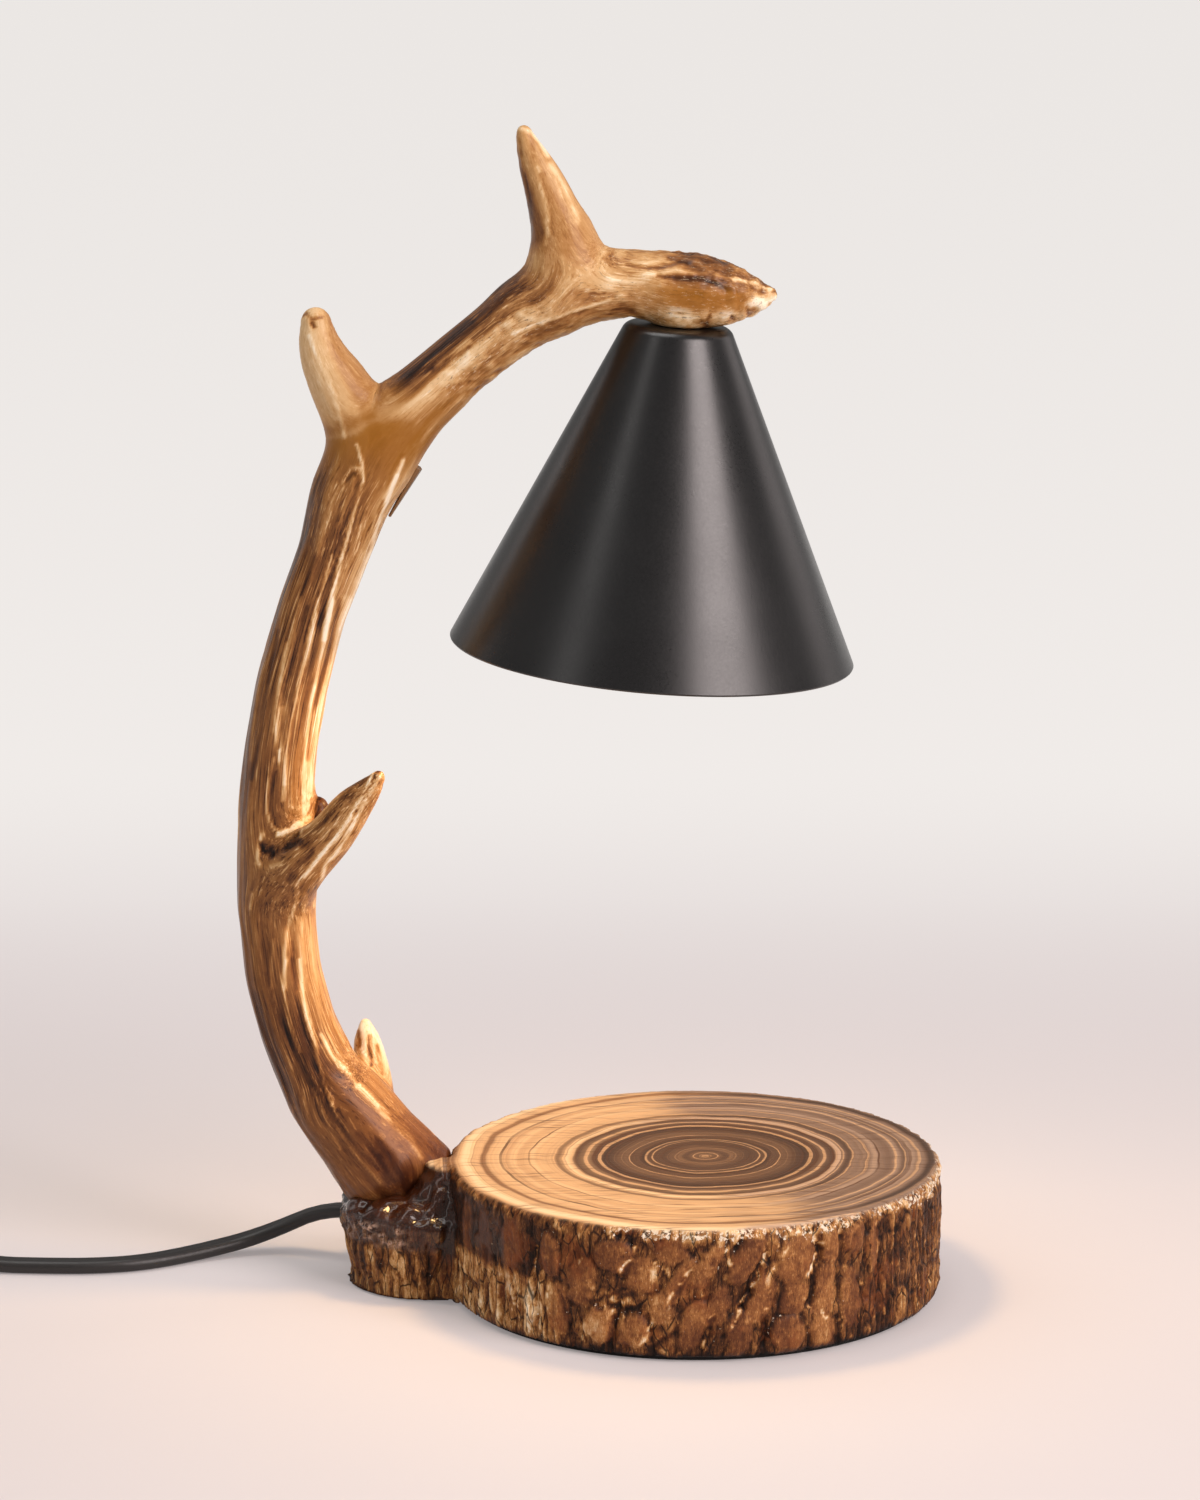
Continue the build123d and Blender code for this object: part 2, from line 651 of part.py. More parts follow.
def arm_wires():
    """Live and neutral, from the caps up the conduit to the lampholder's contacts."""
    wires = []
    for side, y in zip((-1, 1), cap_ys):
        shift = side * arm_wire_spread
        points = conduit_route(y_shift=shift, bottom=4.9, end=contact_top)
        low = [
            (cap_mouth_x + wire_depth, y, cap_z - wire_offset),
            (cap_mouth_x - 1.0, y, cap_z - wire_offset + 0.01),
            (cap_mouth_x - 5.5, y - 2.0, 5.2),
        ]
        radii = corner_radii(low + points[:2]) + conduit_radii(points)
        wires.append(round_tube(routed(low + points, radii), core_radius))
    return wires


def cord_cores():
    """The cord's two cores, from its stripped end to the caps."""
    turn = math.radians(cord_exit_angle)
    across = Vector(-math.sin(turn), math.cos(turn), 0)
    end = Vector(*at_angle(cord_exit_angle, cord_inner_end), cord_z)
    inward = Vector(-math.cos(turn), -math.sin(turn), 0)
    cores = []
    for side, y in zip((1, -1), cap_ys):
        start = end + across * (side * core_spread)
        points = [
            tuple(start), tuple(start + inward * 3.5),
            (cap_mouth_x - 4.5, (y + stump_y + 5.0) / 2, 11.0),
            (cap_mouth_x - 0.5, y, cap_z + wire_offset + 0.01),
            (cap_mouth_x + wire_depth, y, cap_z + wire_offset),
        ]
        cores.append(round_tube(routed(points), core_radius))
    return cores


# ---- shade -----------------------------------------------------------------------------------
def shade():
    """The spun steel cone: flat top with a round shoulder, and a hem at the rim."""
    lean = math.tan(shade_slope)
    across = shade_wall / math.cos(shade_slope)
    inner_corner = shade_top_radius + shade_wall * lean - across
    hem_top = -shade_height + shade_hem
    rim_in = shade_rim_radius - 2 * across
    corners = [
        (conduit_radius + fit_gap, 0), (shade_top_radius, 0), (shade_rim_radius, -shade_height),
        (rim_in, -shade_height), (rim_in - shade_hem * lean, hem_top),
        (rim_in + across - shade_hem * lean, hem_top), (inner_corner, -shade_wall),
        (conduit_radius + fit_gap, -shade_wall),
    ]
    radii = [0, shade_shoulder, 0, 0, 0, 0, shade_shoulder - shade_wall, 0]
    outline = FilletPolyline(*corners, radius=radii, close=True)
    return shade_frame * revolve(Plane.XZ * make_face(outline), Axis.Z)


# ---- lampholder ------------------------------------------------------------------------------
contact_top = holder_top - holder_well_depth + contact_thickness
slot_ceiling = holder_bottom + holder_face + 5.6
pin_head_bottom = holder_bottom + holder_face + 0.4
pin_head_top = pin_head_bottom + pin_head_height
contact_plate = pin_head_top + clear_gap
screw_shank = 1.4
holder_screw_head = 2.7
head_sink = 5.0


def holder_bracket():
    """A strap under the shade's top, with two feet that carry the lampholder."""
    half = bracket_span / 2
    foot_top = holder_top + bracket_thickness
    strap = ground_block(bracket_span, bracket_width, upper_nut_top, bracket_top)
    for side in (-1, 1):
        leg_x = side * (half - bracket_thickness / 2)
        foot_x_middle = side * (half - bracket_foot / 2)
        strap = strap + ground_block(bracket_thickness, bracket_width, holder_top, bracket_top, leg_x)
        strap = strap + ground_block(bracket_foot, bracket_width, holder_top, foot_top, foot_x_middle)
    strap = strap - ground_cylinder(conduit_radius + fit_gap, upper_nut_top, bracket_top)
    for side in (-1, 1):
        hole_x = side * holder_screw_pitch / 2
        strap = strap - ground_cylinder(screw_shank + thread_gap, holder_top, foot_top, hole_x)
    return shade_frame * strap


def bayonet_slot(width, bottom, top):
    """A curved slot about the axis, along the pin's twist."""
    slots = [
        raised(SlotArc(CenterArc((0, 0), pin_pitch / 2, start, pin_turn), width), bottom, top)
        for start in pin_angles
    ]
    return slots


def lampholder():
    """The ceramic GU10 holder with its bayonet slots, wire well and screw holes."""
    head_room = pin_head_radius + slot_gap
    well_floor = holder_top - holder_well_depth
    body = ground_cylinder(holder_radius, holder_bottom, holder_top)
    body = body - bayonet_slot(2 * head_room, holder_bottom + holder_face, slot_ceiling)
    body = body - bayonet_slot(2 * (pin_neck_radius + slot_gap), holder_bottom, slot_ceiling)
    for start in pin_angles:
        turn = math.radians(start + pin_turn)
        x, y = pin_pitch / 2 * math.cos(turn), pin_pitch / 2 * math.sin(turn)
        body = body - ground_cylinder(head_room, holder_bottom, slot_ceiling, x, y)
    body = body - ground_cylinder(holder_well_radius, well_floor, holder_top)
    slit_width = contact_width + 2 * fit_gap
    slit_depth = contact_stem + 2 * fit_gap
    for side in (-1, 1):
        x = side * holder_screw_pitch / 2
        sink_top = holder_bottom + head_sink
        body = body - ground_cylinder(screw_shank + thread_gap, holder_bottom, holder_top, x)
        body = body - ground_cylinder(holder_screw_head + clear_gap, holder_bottom, sink_top, x)
        y = side * pin_pitch / 2
        body = body - ground_block(slit_width, slit_depth, slot_ceiling, well_floor, 0, y)
    return shade_frame * body


def holder_contacts():
    """Brass strips from the wire well down to the tops of the pins."""
    contacts = []
    for side in (-1, 1):
        pin_y = side * pin_pitch / 2
        pad_middle = side * (pin_pitch / 2 + 0.5 + 0.6) / 2
        pad = ground_block(
            contact_width, pin_pitch / 2 - 0.1, contact_top - contact_thickness, contact_top, 0, pad_middle
        )
        stem_top = contact_top - contact_thickness
        stem = ground_block(contact_width, contact_stem, contact_plate, stem_top, 0, pin_y)
        plate = ground_block(contact_width, 3.6, contact_plate, contact_plate + contact_thickness, 0, pin_y)
        contacts.append(shade_frame * (pad + stem + plate))
    return contacts


def holder_screws():
    head_bottom = holder_bottom + head_sink - 2.0
    screws = []
    for side in (-1, 1):
        x = side * holder_screw_pitch / 2
        head = ground_cylinder(holder_screw_head, head_bottom, head_bottom + 2.0, x)
        shank = ground_cylinder(screw_shank, head_bottom + 2.0, holder_top + bracket_thickness + 0.3, x)
        screws.append(shade_frame * (head + shank))
    return screws


# ---- GU10 lamp -------------------------------------------------------------------------------
def bulb_base():
    round_base = ground_cylinder(bulb_base_radius, bulb_shoulder, bulb_top)
    flats = ground_block(bulb_base_width, 3 * bulb_base_radius, bulb_shoulder, bulb_top)
    return shade_frame * (round_base & flats)


def bulb_pins():
    """Two stud pins with wide heads."""
    pins = []
    for side in (-1, 1):
        y = side * pin_pitch / 2
        neck = ground_cylinder(pin_neck_radius, bulb_top, pin_head_bottom, 0, y)
        head = ground_cylinder(pin_head_radius, pin_head_bottom, pin_head_top, 0, y)
        pins.append(shade_frame * (neck + head))
    return pins


def bulb_reflector():
    """The glass bowl, from its neck to the rim that holds the front lens."""
    seat = bulb_rim + bulb_lens_thickness + lens_sink
    lens_bore = bulb_radius - bulb_glass
    spread = bulb_radius - bulb_neck_radius
    bowl = [
        (bulb_neck_radius + share_out * spread, bulb_shoulder - share_down * bulb_reflector_height)
        for share_out, share_down in ((0.3, 0.2), (0.65, 0.47), (0.93, 0.8))
    ]
    lining = [(radius - 1.25 * bulb_glass, z) for radius, z in reversed(bowl)]
    return shade_frame * turned(
        (0, bulb_shoulder), (bulb_neck_radius, bulb_shoulder), *bowl,
        (bulb_radius, seat), (bulb_radius, bulb_rim), (lens_bore, bulb_rim),
        (lens_bore, seat), (lens_bore - bulb_glass, seat), *lining,
        (bulb_neck_radius - bulb_glass, bulb_shoulder - bulb_glass), (0, bulb_shoulder - bulb_glass),
    )


def bulb_lens():
    top = bulb_rim + bulb_lens_thickness + lens_sink
    return shade_frame * ground_cylinder(
        bulb_radius - bulb_glass - thread_gap, top - bulb_lens_thickness, top
    )


def bulb_capsule():
    """The halogen capsule on the bowl's axis."""
    top = bulb_shoulder - bulb_glass
    tip = top - capsule_height
    return shade_frame * turned(
        (0, tip), (capsule_radius * 0.5, tip + 0.4), (capsule_radius, tip + 3.0),
        (capsule_radius, top - 1.0), (capsule_radius - 1.0, top), (0, top),
    )


# ---- dimmer ----------------------------------------------------------------------------------
dimmer_screw_places = [
    (dimmer_x + sx * (dimmer_length / 2 - 9.0), dimmer_y + sy * (dimmer_width / 2 - 5.0))
    for sx in (-1, 1) for sy in (-1, 1)
]
dimmer_boss = 3.0
dimmer_screw_core = 1.0
dimmer_screw_head = 1.9
board_bottom = dimmer_wall + board_lift
board_top = board_bottom + board_thickness
pot_top = board_top + pot_height
spindle_bottom = pot_top - 5.0
knob_bottom = dimmer_top_z + clear_gap
knob_top = knob_bottom + knob_height
spindle_top = knob_top - knob_cap
terminal_length = 8.0
terminal_face = dimmer_length / 2 - dimmer_wall - 0.5


def dimmer_outline(inset=0.0):
    return RectangleRounded(
        dimmer_length - 2 * inset, dimmer_width - 2 * inset, dimmer_corner - inset
    )


def dimmer_posts(radius, bottom, top):
    return [ground_cylinder(radius, bottom, top, *place) for place in dimmer_screw_places]


def end_holes(section, inner, outer):
    """A section pulled through both ends of the dimmer, along the cord."""
    holes = []
    for side in (-1, 1):
        start = Plane(
            origin=(dimmer_x + side * inner, dimmer_y, dimmer_cord_z), x_dir=(0, 1, 0), z_dir=(side, 0, 0)
        )
        holes.append(extrude(start * section, outer - inner))
    return holes


def dimmer_bottom():
    """The lower shell, with ribs under the board and posts for the screws."""
    shell = raised(dimmer_outline(), 0, dimmer_seam, dimmer_x, dimmer_y)
    shell = shell - raised(dimmer_outline(dimmer_wall), dimmer_wall, dimmer_seam, dimmer_x, dimmer_y)
    shell = shell + dimmer_posts(dimmer_boss, dimmer_wall, dimmer_seam)
    for side in (-1, 1):
        shell = shell + ground_block(
            2.0, dimmer_width - 4 * dimmer_wall, dimmer_wall, board_bottom, dimmer_x + side * 14.0, dimmer_y
        )
    shell = shell - dimmer_posts(dimmer_screw_core + thread_gap, 0, dimmer_seam)
    shell = shell - dimmer_posts(dimmer_screw_head + thread_gap, 0, 1.6)
    hole = cord_section(bushing_wall + fit_gap)
    return shell - end_holes(hole, dimmer_length / 2 - 2 * dimmer_wall, dimmer_length / 2 + 1.0)


def dimmer_top():
    """The upper shell, with the spindle's hole."""
    shell = raised(dimmer_outline(), dimmer_seam, dimmer_top_z, dimmer_x, dimmer_y)
    crown = shell.faces().sort_by(Axis.Z)[-1].edges()
    shell = fillet(crown, dimmer_wall)
    hollow = raised(
        dimmer_outline(dimmer_wall), dimmer_seam, dimmer_top_z - dimmer_wall, dimmer_x, dimmer_y
    )
    shell = shell - hollow
    shell = shell + dimmer_posts(dimmer_boss, dimmer_seam, dimmer_top_z - dimmer_wall)
    shell = shell - dimmer_posts(dimmer_screw_core + thread_gap, dimmer_seam, dimmer_screw_tip + 0.3)
    return shell - ground_cylinder(
        spindle_radius + clear_gap, dimmer_seam, dimmer_top_z, dimmer_x, dimmer_y
    )


dimmer_screw_tip = dimmer_seam + 6.0


def dimmer_screws():
    return [
        ground_cylinder(dimmer_screw_head, 0.2, 1.6, *place)
        + ground_cylinder(dimmer_screw_core, 1.6, dimmer_screw_tip, *place)
        for place in dimmer_screw_places
    ]


def dimmer_board():
    """The circuit board, cut out round the posts."""
    length = 2 * terminal_face
    width = dimmer_width - 2 * dimmer_wall - 2.0
    board = ground_block(length, width, board_bottom, board_top, dimmer_x, dimmer_y)
    outline = raised(
        dimmer_outline(dimmer_wall + clear_gap), board_bottom, board_top, dimmer_x, dimmer_y
    )
    return (board & outline) - dimmer_posts(dimmer_boss + clear_gap, board_bottom, board_top)


def dimmer_terminals():
    """The blocks that the cord's ends are clamped in."""
    return [
        ground_block(
            terminal_length, 12.0, board_top, board_top + 6.0,
            dimmer_x + side * (terminal_face - terminal_length / 2), dimmer_y,
        )
        for side in (-1, 1)
    ]


def dimmer_pot():
    """The potentiometer with its bushing, bored for the spindle."""
    case = ground_block(pot_size, pot_size, board_top, pot_top, dimmer_x, dimmer_y)
    bushing = ground_cylinder(spindle_radius + 1.5, pot_top, dimmer_top_z - dimmer_wall, dimmer_x, dimmer_y)
    bore = ground_cylinder(
        spindle_radius + running_gap, spindle_bottom - 0.1, dimmer_top_z, dimmer_x, dimmer_y
    )
    return case + bushing - bore


def dimmer_spindle():
    return ground_cylinder(spindle_radius, spindle_bottom, spindle_top, dimmer_x, dimmer_y)


def dimmer_knob():
    """The grip, with a pointer groove and a bore for the spindle."""
    grip = turned(
        (0, knob_bottom), (knob_radius, knob_bottom), (knob_radius - 0.6, knob_top - 1.2),
        (knob_radius - 1.8, knob_top), (0, knob_top),
    )
    groove = ground_block(knob_radius, 1.4, knob_top - 0.8, knob_top, 0, knob_radius / 2)
    groove = Rot(0, 0, 90) * Pos(knob_radius / 2, -knob_radius / 2, 0) * groove
    grip = grip - groove
    bore = ground_cylinder(spindle_radius, knob_bottom, spindle_top)
    return Pos(dimmer_x, dimmer_y, 0) * (grip - bore)


def dimmer_grommets():
    """Soft tapered sleeves that carry the cord out of the dimmer's ends."""
    face = dimmer_length / 2
    necks = end_holes(cord_section(bushing_wall), face - dimmer_wall, face)
    collars = end_holes(cord_section(bushing_wall + 1.0), face, face + 1.5)
    bores = end_holes(cord_section(fit_gap), 0, face + grommet_length + 1.0)
    grommets = []
    for side, neck, collar, bore in zip((-1, 1), necks, collars, bores):
        root = Plane(
            origin=(dimmer_x + side * face, dimmer_y, dimmer_cord_z), x_dir=(0, 1, 0), z_dir=(side, 0, 0)
        )
        grommets.append(neck + collar + tapered_sleeve(root, grommet_length) - bore)
    return grommets


# ---- plug ------------------------------------------------------------------------------------
plug_back = plug_x - plug_length / 2
plug_front = plug_x + plug_length / 2
plug_mid_z = plug_height / 2


def plug_body():
    """The moulded plug, with pockets for the blades' roots."""
    profile = Plane(origin=(plug_back, plug_y, plug_mid_z), x_dir=(0, 1, 0), z_dir=(1, 0, 0))
    body = extrude(profile * RectangleRounded(plug_width, plug_height, 5.0), plug_length)
    for x, y, z, width in blade_places():
        pocket = ground_block(
            blade_root, blade_thickness, z - width / 2, z + width / 2, plug_front - blade_root / 2, y
        )
        body = body - pocket
    return body


def blade_places():
    return [
        (plug_front, plug_y + side * blade_pitch / 2, plug_mid_z, width)
        for side, width in zip((-1, 1), blade_widths)
    ]


def plug_blades():
    """Two flat blades, the neutral one wider, each with its hole near the tip."""
    blades = []
    for x, y, z, width in blade_places():
        length = blade_length + blade_root
        blade = ground_block(
            length, blade_thickness, z - width / 2, z + width / 2, plug_front - blade_root + length / 2, y
        )
        tip_hole = Pos(plug_front + blade_length - 4.5, y, z) * (
            Rot(90, 0, 0) * Cylinder(1.55, 3 * blade_thickness)
        )
        blades.append(blade - tip_hole)
    return blades


def plug_relief():
    """The ribbed sleeve where the cord enters the plug."""
    start = Plane(
        origin=(plug_back, plug_y, plug_mid_z), x_dir=(0, 1, 0), z_dir=(-1, 0, 0)
    )
    sleeve = tapered_sleeve(start, relief_length)
    for rib in range(5):
        rib_start = start.offset(1.5 + 3.6 * rib)
        rib_wall = bushing_wall + 0.7 - 0.17 * rib
        sleeve = sleeve + extrude(rib_start * cord_section(rib_wall), 1.8)
    return sleeve - extrude(start * cord_section(thread_gap), relief_length)


# ---- cord ------------------------------------------------------------------------------------
floor_z = cord_thickness / 2 + cord_lift
inner_x, inner_y = at_angle(cord_exit_angle, cord_inner_end)
lamp_side_route = [
    (inner_x, inner_y, cord_z),
    (-96.3, 29.2, cord_z),
    (-118.0, 31.0, 4.2),
    (-134.5, 23.6, floor_z),
    (-148.5, 14.3, floor_z),
    (-162.0, 11.2, floor_z),
    (-176.0, 11.4, floor_z),
    (-190.5, 12.6, floor_z),
    (-219.0, dimmer_y, dimmer_cord_z),
    (dimmer_x + terminal_face, dimmer_y, dimmer_cord_z),
]
plug_side_route = [
    (dimmer_x - terminal_face, dimmer_y, dimmer_cord_z),
    (-338.0, dimmer_y, dimmer_cord_z),
    (-357.0, 13.2, floor_z),
    (-366.0, 13.4, floor_z),
]
tail_route = [
    (-366.0, -77.3, 6.0),
    (-348.0, -74.5, 6.6),
    (-330.0, plug_y, plug_mid_z),
    (plug_back, plug_y, plug_mid_z),
]


def flat_cord(name, points):
    """The flat cord along a route, with its radii and volume printed."""
    tube = swept_level(points, cord_section())
    length = routed(points).length
    expected = cord_section().area * length
    print(name, "radii", [round(r, 1) for r in corner_radii(points)], "length", round(length, 1))
    print(name, "volume", round(tube.volume, 1), "section x length", round(expected, 1))
    return tube


def cord_lamp_side():
    return flat_cord("cord_lamp_side", lamp_side_route)


def cord_plug_side():
    return flat_cord("cord_plug_side", plug_side_route)


def cord_tail():
    return flat_cord("cord_tail", tail_route)


def cord_coil():
    """The outer shape of the coiled spare cord."""
    ring = ground_cylinder(coil_outer_radius, cord_lift, coil_height)
    ring = ring - ground_cylinder(coil_inner_radius, cord_lift, coil_height)
    return Pos(coil_x, coil_y, 0) * ring


# ---- write every piece -----------------------------------------------------------------------
pieces = {
    "base_slice": base_slice,
    "base_pad": base_pad,
    "bottom_cover": bottom_cover,
    "cover_screws": cover_screws,
    "antler_arm": antler_arm,
    "arm_conduit": arm_conduit,
    "conduit_washers": conduit_washers,
    "conduit_nuts": conduit_nuts,
    "cord_bushing": cord_bushing,
    "cord_clamp": cord_clamp,
    "clamp_screws": clamp_screws,
    "wire_joints": wire_joints,
    "arm_wires": arm_wires,
    "cord_cores": cord_cores,
    "shade": shade,
    "holder_bracket": holder_bracket,
    "holder_screws": holder_screws,
    "lampholder": lampholder,
    "holder_contacts": holder_contacts,
    "bulb_base": bulb_base,
    "bulb_pins": bulb_pins,
    "bulb_reflector": bulb_reflector,
    "bulb_lens": bulb_lens,
    "bulb_capsule": bulb_capsule,
    "dimmer_bottom": dimmer_bottom,
    "dimmer_top": dimmer_top,
    "dimmer_screws": dimmer_screws,
    "dimmer_board": dimmer_board,
    "dimmer_terminals": dimmer_terminals,
    "dimmer_pot": dimmer_pot,
    "dimmer_spindle": dimmer_spindle,
    "dimmer_knob": dimmer_knob,
    "dimmer_grommets": dimmer_grommets,
    "plug_body": plug_body,
    "plug_blades": plug_blades,
    "plug_relief": plug_relief,
    "cord_lamp_side": cord_lamp_side,
    "cord_plug_side": cord_plug_side,
    "cord_coil": cord_coil,
    "cord_tail": cord_tail,
}

for name, make in pieces.items():
    made = make()
    whole = Compound(children=made) if isinstance(made, list) else made
    export_step(whole, f"parts/{name}.step")
    print(name, round(whole.volume, 1))
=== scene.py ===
import math
import bpy
import numpy as np
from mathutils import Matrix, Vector


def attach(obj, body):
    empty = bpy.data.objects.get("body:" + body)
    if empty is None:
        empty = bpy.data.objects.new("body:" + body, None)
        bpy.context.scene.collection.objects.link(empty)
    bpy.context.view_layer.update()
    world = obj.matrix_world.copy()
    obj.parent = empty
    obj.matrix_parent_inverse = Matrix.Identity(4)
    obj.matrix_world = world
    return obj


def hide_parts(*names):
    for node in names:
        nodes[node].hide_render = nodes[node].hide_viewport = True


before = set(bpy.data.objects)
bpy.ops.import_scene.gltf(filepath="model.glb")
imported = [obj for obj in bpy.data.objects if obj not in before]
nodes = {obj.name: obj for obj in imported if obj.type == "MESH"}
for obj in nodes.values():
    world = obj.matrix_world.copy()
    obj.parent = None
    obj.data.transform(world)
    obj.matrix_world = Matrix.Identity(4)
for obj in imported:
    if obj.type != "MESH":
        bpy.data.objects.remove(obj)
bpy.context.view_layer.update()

# A candle warmer lamp: a bark-edged resin slice with a stump, a cast resin antler that rises from
# the stump, and a black spun shade with a GU10 lamp that hangs under the antler's nose.
# Metres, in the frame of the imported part: the slice's underside is z = 0 and its middle x = y = 0.
bpy.ops.object.select_all(action="DESELECT")

# ---- table, light and camera -----------------------------------------------------------------
# A pale table top that runs on behind the lamp and gets paler there, five soft boxes, a pale sky,
# and the lamp's own warm light on the slice and the table. The camera looks a little down on the
# lamp from the front, from far off and with a long lens.


def linear(red, green, blue):
    """A colour given in 0 to 255 steps, as the shaders take it."""
    parts = [value / 255 for value in (red, green, blue)]
    return (*[p / 12.92 if p < 0.04045 else ((p + 0.055) / 1.055) ** 2.4 for p in parts], 1.0)


def feed(node, inputs):
    """Sets or links a shader node's inputs, by name or number."""
    for name, value in dict(inputs).items():
        if isinstance(value, bpy.types.NodeSocket):
            node.id_data.links.new(value, node.inputs[name])
        else:
            node.inputs[name].default_value = value


def add_node(tree, kind, inputs=(), **settings):
    """Adds a shader node with its settings and inputs."""
    made = tree.nodes.new("ShaderNode" + kind)
    for name, value in settings.items():
        setattr(made, name, value)
    feed(made, inputs)
    return made


def new_material(name, inputs=()):
    """A new material, its node tree, and its shader with some inputs set."""
    made = bpy.data.materials.new(name)
    made.use_nodes = True
    shader = made.node_tree.nodes["Principled BSDF"]
    feed(shader, inputs)
    return made, made.node_tree, shader


def maths(tree, operation, *values):
    """One sum of numbers in the shader."""
    return add_node(tree, "Math", dict(enumerate(values)), operation=operation).outputs[0]


def sum_of(tree, first, second, share=1.0):
    """The first value plus a share of the second."""
    return maths(tree, "MULTIPLY_ADD", second, share, first)


def soft_step(tree, value, low, high, bottom=0.0, top=1.0, kind="SMOOTHSTEP"):
    """A mask that passes smoothly from bottom to top as the value goes from low to high."""
    return add_node(tree, "MapRange", {
        "Value": value, "From Min": low, "From Max": high, "To Min": bottom, "To Max": top,
    }, interpolation_type=kind).outputs["Result"]


def paint_over(tree, under, *coats):
    """A colour with others painted over it in turn, each where its mask is 1."""
    for over, mask in coats:
        under = add_node(tree, "Mix", {0: mask, 6: under, 7: over}, data_type="RGBA").outputs[2]
    return under


def object_place(tree):
    """The place on the object, in metres."""
    return add_node(tree, "TexCoord").outputs["Object"]


table_near = linear(219, 212, 211)
glow_near = (0.735, 0.665, 0.66, 1.0)
glow_far = (0.90, 0.865, 0.84, 1.0)
glow_share = (0.3, 0.9)     # how much of the table's paleness is its own faint glow, near and far
paler_from, paler_to = 0.20, 0.62   # metres behind the lamp
glow_from, glow_to = 0.08, 0.42
paler_ring = 0.45           # and as pale again this much farther out all round
table_size = 14.0
view_target = Vector((-0.0252, 0.0, 0.148))
view_distance = 1.70
view_pitch = math.radians(13.1)
view_lens = 154.56
sensor_height = 36.0
sky_colour = (1.0, 0.985, 0.965, 1.0)
sky_strength = 0.27
# name, place, width, height, watts, colour
soft_boxes = [
    ("box_right", (1.07, -0.96, 1.0), 0.86, 1.3, 30.5, (1.0, 0.88, 0.86)),
    ("box_back_right", (1.15, 0.80, 0.9), 0.7, 1.3, 3.0, (1.0, 0.88, 0.86)),
    ("box_back_left", (-1.15, 0.80, 0.9), 0.6, 1.3, 2.2, (1.0, 0.90, 0.88)),
    ("box_left", (-1.1, -0.85, 0.95), 0.3, 1.4, 2.2, (1.0, 0.965, 0.94)),
    ("box_above", (-0.35, 0.05, 1.5), 0.8, 0.8, 7.0, (1.0, 0.98, 0.96)),
]
warm_light_place = (-0.0105, 0.0, 0.1887)
warm_light_lean = math.radians(4.5)
warm_light_size = 0.042
warm_light_watts = 0.24
warm_light_colour = (1.0, 0.60, 0.24)

bpy.ops.mesh.primitive_plane_add(size=table_size, location=(0, 0, 0))
table = bpy.context.object
table.name = "table_top"
table_paint, tree, shader = new_material("table_paint", {
    "Base Color": table_near, "Roughness": 0.7, "Specular IOR Level": 0.15,
})
spot = object_place(tree)
outward = add_node(tree, "VectorMath", {0: spot}, operation="LENGTH").outputs["Value"]
behind = add_node(tree, "SeparateXYZ", {0: spot}).outputs["Y"]
far_off = maths(tree, "MAXIMUM", behind, maths(tree, "SUBTRACT", outward, paler_ring))
glow_colour = paint_over(
    tree, glow_near, (glow_far, soft_step(tree, far_off, paler_from, paler_to)),
)
glow = add_node(tree, "Emission", {"Color": glow_colour}).outputs[0]
share = soft_step(tree, far_off, glow_from, glow_to, *glow_share, kind="LINEAR")
even = add_node(tree, "MixShader", {0: share, 1: shader.outputs[0], 2: glow}).outputs[0]
rays = add_node(tree, "LightPath").outputs
direct = maths(tree, "MAXIMUM", rays["Is Camera Ray"], rays["Is Glossy Ray"])
shown = add_node(tree, "MixShader", {0: direct, 1: shader.outputs[0], 2: even}).outputs[0]
feed(tree.nodes["Material Output"], {"Surface": shown})
table.data.materials.append(table_paint)

world = bpy.data.worlds.new("pale_sky")
bpy.context.scene.world = world
world.use_nodes = True
feed(world.node_tree.nodes["Background"], {"Color": sky_colour, "Strength": sky_strength})


def add_light(name, place, turned, shape, width, height, watts, colour):
    """An area light that shines along its own -Z."""
    bpy.ops.object.light_add(type="AREA", location=place, rotation=turned)
    lamp = bpy.context.object
    lamp.name = name
    lamp.data.shape = shape
    lamp.data.size, lamp.data.size_y = width, height
    lamp.data.energy = watts
    lamp.data.color = colour


for name, place, width, height, watts, colour in soft_boxes:
    turned = (view_target - Vector(place)).to_track_quat("-Z", "Y").to_euler()
    add_light(name, place, turned, "RECTANGLE", width, height, watts, colour)
add_light(
    "warm_light", warm_light_place, (0, warm_light_lean, 0), "DISK", warm_light_size,
    warm_light_size, warm_light_watts, warm_light_colour,
)

bpy.ops.object.camera_add(
    location=view_target + view_distance * Vector((0, -math.cos(view_pitch), math.sin(view_pitch))),
    rotation=(math.pi / 2 - view_pitch, 0, 0),
)
camera = bpy.context.object
camera.data.sensor_fit = "VERTICAL"
camera.data.sensor_height = sensor_height
camera.data.lens = view_lens
bpy.context.scene.camera = camera
bpy.context.scene.view_settings.view_transform = "Standard"
bpy.ops.object.select_all(action="DESELECT")

# ---- bark-edged slice and its stump ----------------------------------------------------------
# One hollow resin casting, moulded as a slice of a trunk with a stump beside it: bark plates and
# cracks round the side, a sawn top with rings, and a dark glossy collar round the antler's foot.
slice_radius = 66.0         # sizes of this section are in millimetres, as a mould maker has them
slice_top = 36.0
stump_x, stump_y = -71.0, 8.0
stump_radius = 24.0
stump_top = 22.5
stump_taper = 1.5
foot_x, foot_y = -80.0, 8.0
foot_half_x, foot_half_y = 13.5, 11.0
base_bottom = 1.5
lump_x = -65.2              # the lump of bark in the notch between slice and stump
casting_voxel = 0.00076
same_place = 1e-6           # metres within which two corners are one
